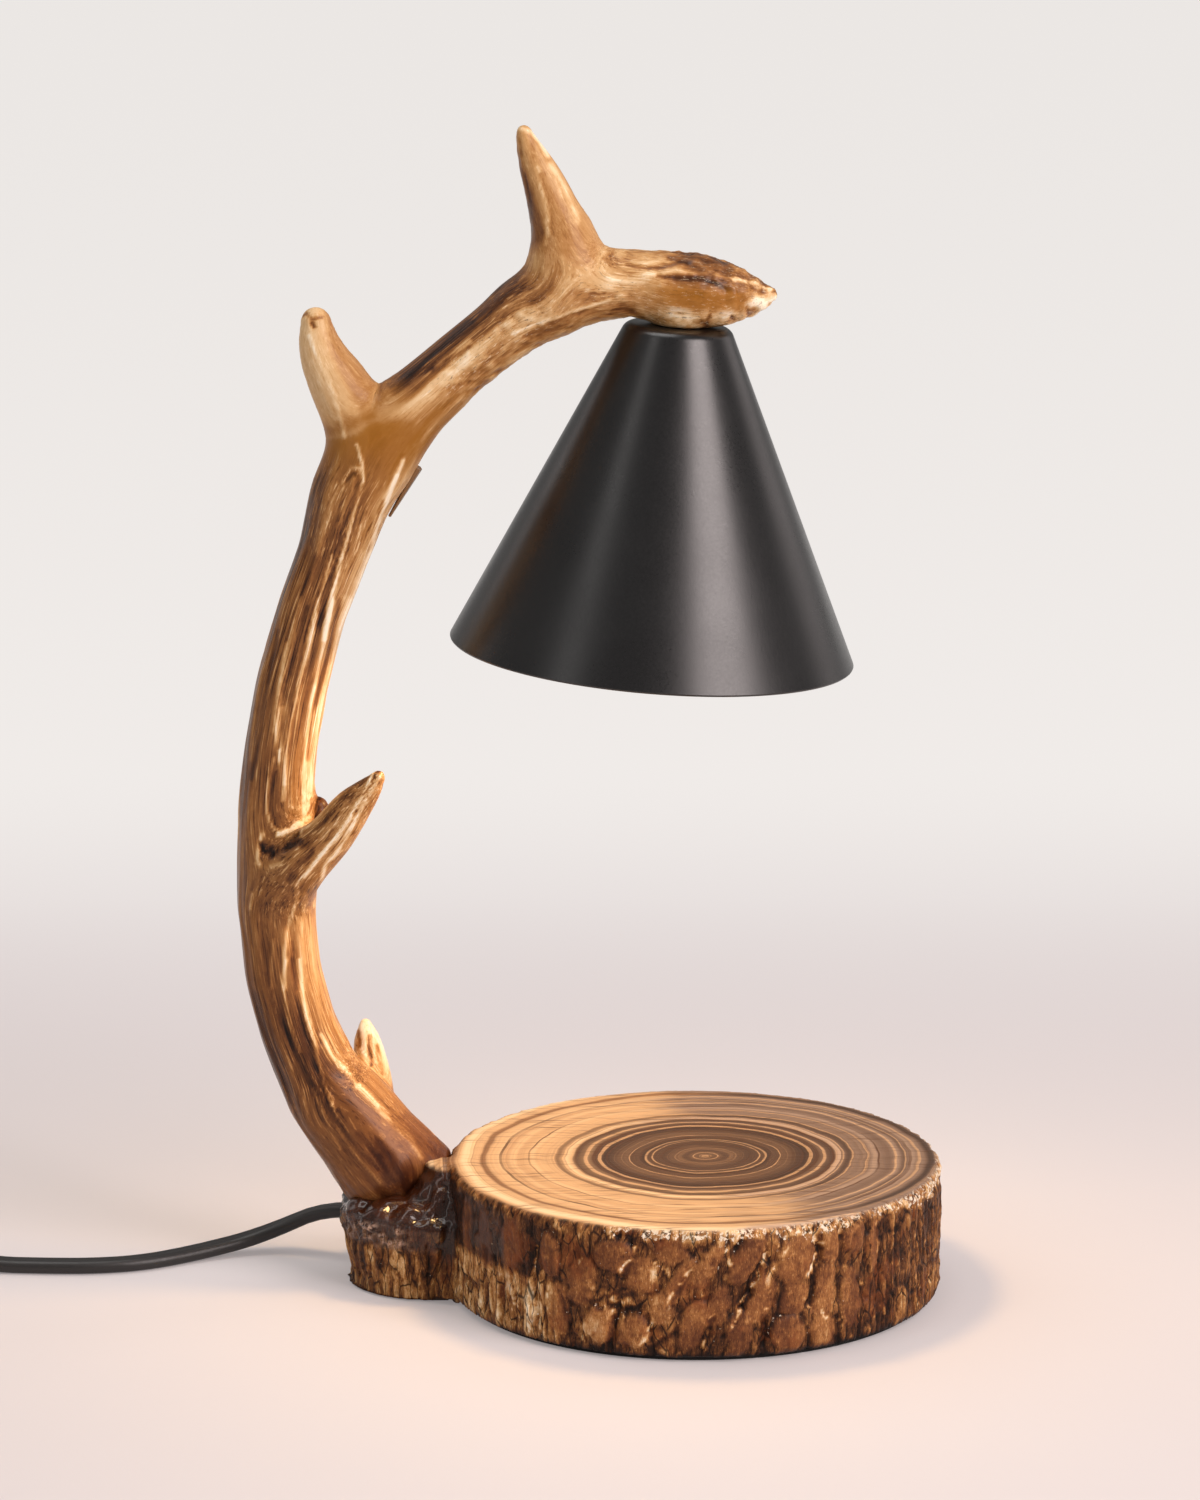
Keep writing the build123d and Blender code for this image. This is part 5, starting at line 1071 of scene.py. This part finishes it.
# the nose's seat, the bore and the foot's cut faces stay where the base and the shade meet them
seat_way = np.abs((place - nose_seat) / np.array([1.0, 1.0, 0.8])).max(axis=1)
keep_still = ramp(seat_way, 8.0, 12.0) * ramp(place[:, 2], 20.5, 24.5)
off_slice = ramp(np.hypot(place[:, 0], place[:, 1]), 66.5, 68.5)
keep_still *= np.where(place[:, 2] < 40.0, off_slice, 1.0)
for _ in range(2):
    outsides, ways, aways = drawn_limbs(place)
    step = np.clip(blended(outsides), -2.5, 5.0)
    on_skin = np.where(outsides.min(axis=0) < -3.5, 0.0, 1.0)
    outward = aways[outsides.argmin(axis=0), np.arange(len(place))]
    turned = ramp((outward * normal).sum(axis=1), 0.0, 0.5)[:, None]
    outward = outward * turned + normal * (1.0 - turned)
    place = place - outward * (step * keep_still * on_skin)[:, None]
    move_corners(antler, place)
    finish_with(antler, "SMOOTH", "evened", factor=0.5, iterations=6)
    place, normal = corners_of(antler)
x, y, z = place.T
outsides, ways, aways = drawn_limbs(place)
weights = np.exp(-np.maximum(outsides - outsides.min(axis=0), 0.0) / weight_blend)
weights /= weights.sum(axis=0)
grain = sum(w[:, None] * way for w, (way, _) in zip(weights, ways))
tone = sum(
    w * (root_tone + (tip_tone - root_tone) * ramp(share, 0.1, 0.75))
    for w, (_, share), (_, _, root_tone, tip_tone) in zip(weights, ways, limbs)
)
on_beam = weights[0]
along = grain[:, 2]


def horn_noise(wide, long, seed, layers=1):
    """Noise in cells so many millimetres wide and long, drawn out along the limbs."""
    return rough_noise(grain * np.array([1 / wide, 1 / wide, 1 / long]), layers, seed)


# moulded relief: long grooves down the beam, a crackle between the upper tines, a rough nose
long_grain = grain * np.array([1 / 2.3, 1 / 2.3, 1 / 34.0])
sway = [cell_noise(grain / 14.0, seed) for seed in (101, 102)]
long_grain[:, :2] += 0.35 * np.stack(sway, axis=1)
grooves = cell_noise(long_grain, 103) + 0.45 * cell_noise(long_grain * 2.1, 104)
smooth_fork = np.exp(-((along - 218.0) / 16.0) ** 2)
groove_depth = (0.10 + 0.24 * on_beam) * (1.0 - 0.75 * smooth_fork)
groove_depth *= 1.0 - 0.8 * ramp(along, 228.0, 240.0) * on_beam
dark_band = on_beam * ramp(along, 219.0, 228.0) * ramp(along, 300.0, 272.0)
dark_band *= ramp(-grain[:, 1], 1.6, 4.0)
band_lines = horn_noise(0.9, 30.0, 137)
crackle_zone = on_beam * ramp(along, 226.0, 238.0) * ramp(along, 300.0, 286.0) * (1.0 - dark_band)
crackle = horn_noise(1.5, 2.6, 107, 3)
nose_zone = on_beam * ramp(along, 288.0, 304.0)
pits = rough_noise(place / 2.4, 3, 109)
shape = groove_depth * grooves + 0.26 * crackle_zone * crackle + 0.42 * nose_zone * pits

# the strokes of the front, which fade out round the sides
drawn_across = x
drawn_up = z * math.cos(front_tilt) + y * math.sin(front_tilt)
facing = -normal[:, 1] * math.cos(front_tilt) + normal[:, 2] * math.sin(front_tilt)
seen = ramp(facing, -0.05, 0.3)
seen *= np.where((y > 12.0) & (z > 100.0), 0.0, 1.0)
brush_edge = 1.0 + 0.45 * horn_noise(0.8, 5.0, 113)
broken = 0.55 + 0.45 * ramp(horn_noise(1.2, 7.0, 117), -0.5, 0.3)
fine_lines = ramp(horn_noise(0.8, 20.0, 119), -0.3, 0.2)
stroke_tone = np.zeros(len(x))
for half_width, lighter, higher, line in front_strokes:
    gap = to_lines(drawn_across, drawn_up, [line])
    edge = half_width * stroke_body * brush_edge
    mark = ramp(gap, edge + 0.5, 0.3 * edge) * seen * broken
    if half_width > bristles_from:
        mark = mark * (0.3 + 0.7 * fine_lines)
    stroke_tone = stroke_tone + (0.8 if lighter < 0 else 0.95) * lighter * mark
    shape = shape + higher * mark * stroke_relief
behind = 1.0 - seen
back_marks = horn_noise(1.5, 26.0, 127)
tone += behind * (0.30 * ramp(back_marks, 0.25, 0.8) - 0.16 * ramp(back_marks, -0.2, -0.8))
tone += np.clip(stroke_tone, -0.40, 0.46)
tone += 0.08 * grooves * on_beam + 0.13 * crackle_zone * crackle + 0.10 * nose_zone * pits
# painted light and shade: the lower beam is painted lighter where it faces right and darker
# where it faces left; the upper branch is pale with a dark upper edge
lower_beam = on_beam * ramp(along, 224.0, 206.0)
tone += 0.24 * lower_beam * ramp(normal[:, 0], 0.0, 0.9)
tone -= 0.04 * lower_beam * ramp(-normal[:, 0], 0.1, 0.9)
tone -= 0.07 * ramp(z, 90.0, 60.0) * ramp(x, -84.0, -96.0)
upper_branch = on_beam * ramp(along, 214.0, 224.0) * ramp(along, 312.0, 292.0)
tone += 0.15 * upper_branch * ramp(-grain[:, 1], -3.0, 1.0) + 0.10 * upper_branch
tone -= (0.38 + 0.12 * band_lines) * dark_band
tone += 0.07 * nose_zone * ramp(grain[:, 1], -1.0, 2.5)
tone -= 0.09 * nose_zone * ramp(-grain[:, 1], 1.0, 3.0)
tone += 0.05 * horn_noise(9.0, 30.0, 131)
rear_face = weights[2] * ramp(ways[2][1], 0.2, 0.5)
tone += rear_face * (0.07 - 0.16 * ramp(ways[2][0][:, 1], 1.4, 4.0))
tone -= 0.20 * weights[1] * ramp(ways[1][1], 0.2, 0.4) * ramp(-ways[1][0][:, 1], 2.5, 4.5)
crust = nose_zone * np.maximum(ramp(grain[:, 1], 2.0, 5.5), ramp(along, 319.0, 324.0))
tone += crust * (0.12 + 0.16 * pits)
red = ramp(z, 66.0, 34.0) * ramp(x, -98.0, -84.0)
deep_foot = ramp(z, 38.0, 24.0) * ramp(x, -88.0, -76.0)
tone -= 0.19 * deep_foot
wedge = on_beam * ramp(z, 56.0, 44.0) * ramp(x, -82.0, -89.0)
plain_skin = on_beam * ramp(along, 44.0, 60.0) * ramp(along, 118.0, 100.0)
tone += wedge * (0.42 - tone) * 0.7 + 0.06 * plain_skin
move_corners(antler, place + normal * (shape * keep_still)[:, None])
keep_mask(antler, "tone", tone)
keep_mask(antler, "red", red)
golden_fork = smooth_fork * ramp(tone, 0.72, 0.56) * (1.0 - dark_band)
golden_nose = nose_zone * ramp(grain[:, 1], -4.0, -1.0) * (1.0 - crust)
keep_mask(antler, "amber", np.clip(golden_fork + golden_nose, 0.0, 1.0))
on_tine = weights[1] + weights[2] + 0.5 * weights[4]
lined = 0.54 - 0.34 * smooth_fork - 0.25 * crackle_zone - 0.35 * nose_zone - 0.38 * on_tine
lined -= 0.20 * plain_skin + 0.3 * ramp(z, 60.0, 40.0)
keep_mask(antler, "lined", np.clip(lined, 0.1, 1.0))
flecked = crackle_zone * ramp(grain[:, 1], 6.0, 2.0) + 0.45 * nose_zone + 0.7 * crust
keep_mask(antler, "flecked", np.clip(flecked, 0.0, 1.0))
keep_grain(antler, grain * np.array([0.55, 0.55, 0.035]))

antler_resin, tree, shader = new_material("antler_resin", {
    "Specular IOR Level": 0.17, "Coat Weight": 0.07, "Coat Roughness": 0.12,
})
horn_grain = attribute(tree, "grain", "Vector")
horn = add_node(tree, "Group", {
    "Tone": attribute(tree, "tone"), "Grain": horn_grain, "Streaks": attribute(tree, "lined"),
    "Speckles": 0.12,
}, node_tree=resin_paint).outputs
painted = horn["Color"]
fleck = clouds(tree, scaled(tree, horn_grain, (1.0, 1.0, 4.0)), 3.4, 5.0, 0.72)
for mask, share, over in (
    ("red", 0.22, (92, 40, 20)), ("amber", 0.8, (150, 96, 27)),
    ("flecked", soft_step(tree, fleck, 0.56, 0.66, 0.0, 0.75), (236, 214, 176)),
    ("flecked", soft_step(tree, fleck, 0.44, 0.34, 0.0, 0.75), (70, 42, 22)),
):
    strength = maths(tree, "MULTIPLY", attribute(tree, mask), share)
    painted = paint_over(tree, painted, (linear(*over), strength))
feed(shader, {
    "Base Color": painted,
    "Roughness": soft_step(tree, horn["Roughness"], 0.0, 1.0, 0.30, 0.48),
    "Normal": add_node(tree, "Bump", {
        "Height": horn["Height"], "Strength": 0.45, "Distance": 0.0004,
    }).outputs["Normal"],
})
antler.data.materials.clear()
antler.data.materials.append(antler_resin)
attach(antler, "lamp")
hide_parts("antler_arm")

# a thin chip of the cast skin that stands off the branch's inner side, wide at its top end
chip_top = Vector((-0.0727, 0.0050, 0.2230))
chip_foot = Vector((-0.0805, 0.0050, 0.2098))
chip_way = chip_top - chip_foot
bpy.ops.mesh.primitive_cone_add(
    vertices=6, radius1=0.0004, radius2=0.0011, depth=chip_way.length, end_fill_type="TRIFAN",
)
chip = bpy.context.object
chip.name = chip.data.name = "skin_chip"
chip_turn = chip_way.to_track_quat("Z", "Y").to_euler()
place_part(chip, 0.5 * (chip_top + chip_foot), (2.2, 1.0, 1.0), chip_turn)
finish_with(chip, "BEVEL", "broken_edge", width=0.0002, segments=2)
chip.data.materials.append(finish_of("chip_umber", (120, 86, 50), 0.4, 0.8, 500.0, 0.5))
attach(chip, "lamp")

# ---- conduit and its fasteners ---------------------------------------------------------------
# A bent steel tube runs through the antler and carries two sleeved wires. A nut and a washer at
# each end pull the base, the antler and the shade together.
brass_nut = finish_of("brass_nut", (206, 172, 104), 0.3, 0.15, 700.0, 0.1, Metallic=1.0)
dress(steel, "arm_conduit", "conduit_washers")
dress(brass_nut, "conduit_nuts")
dress(finish_of("wire_sleeve", (60, 44, 36), 0.5, 0.3, 1200.0, 0.2), "arm_wires")

# ---- shade -----------------------------------------------------------------------------------
# A spun steel cone, satin black outside and white inside, with a rounded shoulder under the nose
# and its rim turned in to a hem. The conduit's upper nut holds it, a little tilted.
shade_place = Vector((-0.0048, 0.0, 0.2615))
shade_tilt = math.radians(4.5)
shade_top_radius = 0.01375
shade_rim_radius = 0.0535
shade_height = 0.087
shade_wall = 0.0008
shoulder = 0.003
hem = 0.0025
fold_half, fold_deep = 0.00075, 0.0006      # half the folded rim's width, and its round's depth
hem_lip = Vector((0.0005, 0.0002))
collar_radius = 0.00415
shade_lean = (shade_rim_radius - shade_top_radius) / shade_height
shoulder_steps, side_steps, fold_steps, inner_steps, spin_steps = 8, 12, 6, 5, 160

# the section of the sheet, from the hole over the shoulder down to the rim and up the hem
slope = math.atan(shade_lean)
bend = math.pi / 2 - slope
bend_start = shade_top_radius - shoulder * math.tan(bend / 2)


def shoulder_at(turn, radius):
    """A point of the shoulder's round, on its outer or inner skin."""
    return Vector((bend_start + radius * math.sin(turn), -shoulder + radius * math.cos(turn)))


section = [Vector((collar_radius, 0.0)), Vector((0.5 * (collar_radius + bend_start), 0.0))]
section += [shoulder_at(bend * i / shoulder_steps, shoulder) for i in range(shoulder_steps + 1)]
shoulder_end = section[-1]
side_from = len(section)
side_down = shade_height - fold_deep + shoulder_end.y
section += [
    shoulder_end + Vector((shade_lean, -1.0)) * side_down * i / side_steps
    for i in range(1, side_steps + 1)
]
rim = section[-1]
side_to = len(section) - 2      # inside, the side ends above the hem
for step in range(1, fold_steps + 1):       # the sheet folds in round the rim
    turn = math.pi * step / fold_steps
    section.append(rim - Vector((fold_half * (1 - math.cos(turn)), fold_deep * math.sin(turn))))
hem_top = section[-1] + Vector((-shade_lean, 1.0)) * hem
section += [hem_top, hem_top + hem_lip]
wall = shade_wall * Vector((math.cos(slope), math.sin(slope)))
section += [point - wall for point in reversed(section[side_from:side_to])]
section += [
    shoulder_at(bend * i / inner_steps, shoulder - shade_wall) for i in range(inner_steps, -1, -1)
]
section.append(Vector((collar_radius, -shade_wall)))

mesh = bpy.data.meshes.new("shade_skin")
mesh.from_pydata(
    [(point.x, 0.0, point.y) for point in section],
    [(i, (i + 1) % len(section)) for i in range(len(section))], [],
)
shade_skin = bpy.data.objects.new("shade_skin", mesh)
bpy.context.collection.objects.link(shade_skin)
whole_turn = {"angle": 2 * math.pi, "center": (0, 0, 0), "axis": (0, 0, 1)}
in_edit_mode(
    shade_skin, (bpy.ops.mesh.spin, {"steps": spin_steps, **whole_turn}),
    (bpy.ops.mesh.select_all, {"action": "SELECT"}),
    (bpy.ops.mesh.remove_doubles, {"threshold": same_place}),
    (bpy.ops.mesh.normals_make_consistent, {"inside": False}),
)
bpy.ops.object.shade_smooth_by_angle(angle=math.radians(40))
place_part(shade_skin, shade_place, turned=(0.0, shade_tilt, 0.0))

shine = {"Specular IOR Level": 0.62}
shade_black = finish_of("shade_black", (10, 8, 9), 0.32, 0.08, 1600.0, 0.02, **shine)
shade_white = finish_of("shade_white", (236, 233, 226), 0.5, 0.04, 1200.0, 0.08)
shade_skin.data.materials.append(shade_black)
shade_skin.data.materials.append(shade_white)
shade_axis = Vector((math.sin(shade_tilt), 0.0, math.cos(shade_tilt)))
for face in shade_skin.data.polygons:      # white is what faces the shade's own axis
    from_top = face.center - shade_place
    sideways_out = from_top - shade_axis * from_top.dot(shade_axis)
    looks_in = face.normal.dot(sideways_out.normalized()) < -0.2
    under_top = face.normal.dot(shade_axis) < -0.8 and from_top.length < 0.02
    face.material_index = int(looks_in or under_top)
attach(shade_skin, "lamp")
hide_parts("shade")

# ---- lampholder ------------------------------------------------------------------------------
# A pressed steel strap under the shade's top carries a glazed ceramic GU10 holder by two screws.
# Brass strips in the holder meet the lamp's pins.
glazed = {"Coat Weight": 0.4}
ceramic = finish_of("glazed_ceramic", (232, 226, 214), 0.28, 0.08, 500.0, 0.06, **glazed)
brass_strip = finish_of("brass_strip", (212, 176, 100), 0.35, 0.2, 900.0, 0.1, Metallic=1.0)
dress(steel, "holder_bracket", "holder_screws")
dress(ceramic, "lampholder")
dress(brass_strip, "holder_contacts")

# ---- GU10 lamp -------------------------------------------------------------------------------
# A halogen lamp: a ceramic base with two studs, a faceted glass bowl silvered inside, a capsule
# on its axis, and a prismed front glass. It twists in the holder.
dress(ceramic, "bulb_base")
dress(steel, "bulb_pins")
dress(finish_of("capsule_quartz", (250, 236, 205), 0.12, 0.05, 400.0, 0.02), "bulb_capsule")


def moulded_glass(name, finish, facets, kind, strength, depth, **shine):
    """A glass with facets or prisms moulded in, and the facets' pattern on it."""
    made = finish_of(name, *finish, **shine)
    tree = made.node_tree
    shader = tree.nodes["Principled BSDF"]
    pattern = add_node(tree, "TexVoronoi", {
        "Vector": object_place(tree), "Scale": facets,
    }, feature=kind).outputs["Distance"]
    feed(shader, {"Normal": add_node(tree, "Bump", {
        "Height": pattern, "Strength": strength, "Distance": depth,
        "Normal": shader.inputs["Normal"].links[0].from_socket,
    }).outputs["Normal"]})
    return made, pattern


silvered = ((214, 214, 216), 0.22, 0.12, 600.0, 0.06)
warm_glass = ((255, 240, 214), 0.2, 0.05, 500.0, 0.05)
bowl_glass, _ = moulded_glass(
    "bowl_glass", silvered, 300.0, "F1", 0.5, 0.0006, Metallic=0.85,
)
dress(bowl_glass, "bulb_reflector")
front_glass, prisms = moulded_glass("front_glass", warm_glass, 420.0, "SMOOTH_F1", 0.8, 0.0008)
tree = front_glass.node_tree
feed(tree.nodes["Principled BSDF"], {
    "Emission Color": paint_over(tree, linear(255, 214, 160), (linear(255, 240, 214), prisms)),
    "Emission Strength": 1.6,
})
dress(front_glass, "bulb_lens")

# ---- mains cord ------------------------------------------------------------------------------
# Flat twin flex in black PVC, 6 by 3.7 mm, with a shallow groove between its two cores. It leaves
# the back of the stump, lies on the table, passes the dimmer and ends in a coil and the plug.
lead_width = 0.006
lead_thickness = 0.0037
dimmer_x, dimmer_y, dimmer_cord_z = -0.280, 0.013, 0.007
terminal_face = 0.0275
plug_back, plug_y, plug_z = -0.297, -0.0675, 0.0075
floor_z = lead_thickness / 2 + 0.0001
lamp_side_route = [
    (-0.07904, 0.01475, 0.01465), (-0.0963, 0.0292, 0.01465), (-0.1180, 0.0310, 0.0042),
    (-0.1345, 0.0236, floor_z), (-0.1485, 0.0143, floor_z), (-0.1620, 0.0112, floor_z),
    (-0.1760, 0.0114, floor_z), (-0.1905, 0.0126, floor_z), (-0.2190, dimmer_y, dimmer_cord_z),
    (dimmer_x + terminal_face, dimmer_y, dimmer_cord_z),
]
to_coil_route = [
    (dimmer_x - terminal_face, dimmer_y, dimmer_cord_z), (-0.3380, dimmer_y, dimmer_cord_z),
    (-0.3570, 0.0132, floor_z),
]
to_plug_route = [
    (-0.3480, -0.0745, 0.0066), (-0.3300, plug_y, plug_z), (plug_back, plug_y, plug_z),
]
coil_middle = (-0.372, -0.0320)
coil_outer = 0.0455
coil_inner = 0.0255
coil_turns = 3.25           # in each of its two layers
points_per_turn = 16
climb_points = 6            # the coil climbs to its second layer over these
spline_steps = 6
lobe_steps = 8              # faces round half the flex
groove_share = 0.9          # of the flex's thickness is left at its groove


def coil_route():
    """The coil's turns: inwards on the table, then outwards on top of them."""
    points = []
    steps = round(coil_turns * points_per_turn)
    for step in range(2 * steps + 1):
        inward = min(step, 2 * steps - step) / steps
        radius = coil_outer + (coil_inner - coil_outer) * inward
        angle = math.pi / 2 + 2 * math.pi * step / points_per_turn
        rise = min(max((step - steps) / climb_points + 0.5, 0.0), 1.0)
        points.append((
            coil_middle[0] + radius * math.cos(angle), coil_middle[1] + radius * math.sin(angle),
            floor_z + rise * lead_thickness,
        ))
    return points


def middle_line(route):
    """The lead's middle line: one NURBS spline on its route, read as a row of points."""
    curve = bpy.data.curves.new("middle_line", "CURVE")
    curve.dimensions = "3D"
    curve.resolution_u = spline_steps
    spline = curve.splines.new("NURBS")
    spline.points.add(len(route) - 1)
    for point, place in zip(spline.points, route):
        point.co = (*place, 1.0)
    spline.order_u = 3
    spline.use_endpoint_u = True
    drawn = bpy.data.objects.new("middle_line", curve)
    bpy.context.collection.objects.link(drawn)
    bpy.context.view_layer.update()
    mesh = bpy.data.meshes.new_from_object(drawn)
    row = [vertex.co.copy() for vertex in mesh.vertices]
    bpy.data.objects.remove(drawn)
    bpy.data.meshes.remove(mesh)
    return row


def flat_lead(name, row, material):
    """The flex drawn along its middle line, flat side down."""
    lobe = lead_thickness / 2
    shift = lead_width / 2 - lobe
    section = []
    for side in (1, -1):
        for step in range(lobe_steps + 1):
            turn = math.radians(180 * step / lobe_steps - 90) * side
            section.append((side * shift + lobe * math.cos(turn) * side, lobe * math.sin(turn)))
        section.append((0.0, side * groove_share * lobe))
    corners, faces = [], []
    count = len(section)
    for i, place in enumerate(row):
        ahead = row[min(i + 1, len(row) - 1)] - row[max(i - 1, 0)]
        across = Vector((ahead.y, -ahead.x, 0)).normalized()
        upward = across.cross(ahead).normalized()
        if upward.z < 0:
            upward = -upward
        corners += [place + across * u + upward * v for u, v in section]
    for i in range(len(row) - 1):
        for k in range(count):
            n = (k + 1) % count
            faces.append((i * count + k, i * count + n, (i + 1) * count + n, (i + 1) * count + k))
    faces += [tuple(range(count)), tuple(len(corners) - count + k for k in range(count))]
    mesh = bpy.data.meshes.new(name)
    mesh.from_pydata(corners, [], faces)
    lead = bpy.data.objects.new(name, mesh)
    bpy.context.collection.objects.link(lead)
    in_edit_mode(lead, (bpy.ops.mesh.normals_make_consistent, {"inside": False}))
    bpy.ops.object.shade_smooth_by_angle(angle=math.radians(50))
    mesh.materials.append(material)
    return lead


lead_pvc = finish_of("lead_pvc", (34, 31, 30), 0.42, 0.3, 1000.0, 0.15)
lamp_side_row = middle_line(lamp_side_route)
plug_side_row = middle_line(to_coil_route + coil_route() + to_plug_route)
lamp_lead = flat_lead("lamp_lead", lamp_side_row, lead_pvc)
plug_lead = flat_lead("plug_lead", plug_side_row, lead_pvc)
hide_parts("cord_lamp_side")
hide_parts("cord_plug_side", "cord_coil", "cord_tail")
for lead in (lamp_lead, plug_lead):
    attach(lead, "lamp")

# the hook-and-loop tie that goes round all the turns, with its tongue laid back over the top
tie_width, tie_thickness = 0.008, 0.0006
tie_outside, tie_inside, tie_top = -0.4192, -0.3944, 0.0078
tie_bend, tie_wear = 0.0021, 0.00015
tongue_long, tongue_thick, tongue_round = 0.013, 0.0007, 0.0028
round_steps = 5
tie_middle = ((tie_outside + tie_inside) / 2, coil_middle[1])


def box(middle_z, size):
    """A box on the tie's middle, taken."""
    bpy.ops.mesh.primitive_cube_add(size=1.0)
    place_part(bpy.context.object, (*tie_middle, middle_z), size)
    return bpy.context.object


def on_some(piece, parts, kind, chosen, step, **settings):
    """Runs an edit step on the faces or edges of a piece that pass the test."""
    bpy.ops.object.mode_set(mode="EDIT")
    bpy.ops.mesh.select_mode(type=kind)
    bpy.ops.mesh.select_all(action="DESELECT")
    bpy.ops.object.mode_set(mode="OBJECT")
    for part in parts:
        part.select = chosen(part)
    bpy.ops.object.mode_set(mode="EDIT")
    step(**settings)
    bpy.ops.object.mode_set(mode="OBJECT")


def round_edges(piece, axis, longer, radius, past=-1.0):
    """Rounds the edges of a piece that run this far along an axis, past some place in x."""
    def runs(edge):
        start, end = (piece.data.vertices[i].co for i in edge.vertices)
        return abs(start[axis] - end[axis]) > longer and start.x > past

    on_some(
        piece, piece.data.edges, "EDGE", runs, bpy.ops.mesh.bevel, offset=radius,
        segments=round_steps,
    )


bpy.ops.object.select_all(action="DESELECT")
coil_tie = box(tie_top / 2 + tie_thickness, (tie_inside - tie_outside, tie_width, tie_top))
coil_tie.name = coil_tie.data.name = "coil_tie"
on_some(
    coil_tie, coil_tie.data.polygons, "FACE", lambda face: abs(face.normal.y) > 0.9,
    bpy.ops.mesh.delete, type="ONLY_FACE",
)
round_edges(coil_tie, 1, 0.5 * tie_width, tie_bend)
finish_with(coil_tie, "SOLIDIFY", "webbing", thickness=tie_thickness, offset=1.0)
tongue = box(
    tie_top + 2 * tie_thickness + tongue_thick / 2, (tongue_long, tie_width, tongue_thick),
)
round_edges(tongue, 2, 0.5 * tongue_thick, tongue_round, tie_middle[0])
coil_tie.select_set(True)
bpy.context.view_layer.objects.active = coil_tie
bpy.ops.object.join()
finish_with(coil_tie, "BEVEL", "worn_edge", width=tie_wear, segments=2, limit_method="ANGLE")
bpy.ops.object.shade_smooth_by_angle(angle=math.radians(40))
coil_tie.data.materials.append(finish_of("tie_webbing", (28, 26, 26), 0.8, 0.4, 1800.0, 0.5))
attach(coil_tie, "lamp")

# ---- dimmer ----------------------------------------------------------------------------------
# An in-line rotary dimmer in a two-part black plastic case, with a knob on its potentiometer, a
# small board with terminal blocks inside, and soft tapered sleeves round the cord.
case_plastic = finish_of("case_plastic", (34, 32, 32), 0.42, 0.25, 1400.0, 0.35)
sleeve_rubber = finish_of("sleeve_rubber", (24, 22, 22), 0.55, 0.3, 1200.0, 0.25)
dress(case_plastic, "dimmer_bottom", "dimmer_top")
dress(finish_of("knob_plastic", (42, 40, 40), 0.34, 0.2, 1500.0, 0.2), "dimmer_knob")
dress(sleeve_rubber, "dimmer_grommets", "plug_relief")
dress(steel, "dimmer_screws", "dimmer_spindle")
dress(finish_of("board_laminate", (46, 96, 62), 0.4, 0.25, 900.0, 0.15), "dimmer_board")
dress(finish_of("terminal_nylon", (60, 92, 130), 0.4, 0.15, 900.0, 0.1), "dimmer_terminals")
dress(finish_of("pot_case", (70, 72, 78), 0.4, 0.2, 900.0, 0.15), "dimmer_pot")

# ---- plug ------------------------------------------------------------------------------------
# A moulded two-blade plug in black PVC with a ribbed, tapered sleeve, and nickelled brass blades.
nickelled = finish_of("nickelled_brass", (206, 200, 186), 0.25, 0.1, 700.0, 0.06, Metallic=1.0)
dress(finish_of("plug_pvc", (30, 28, 28), 0.45, 0.3, 1300.0, 0.3), "plug_body")
dress(nickelled, "plug_blades")
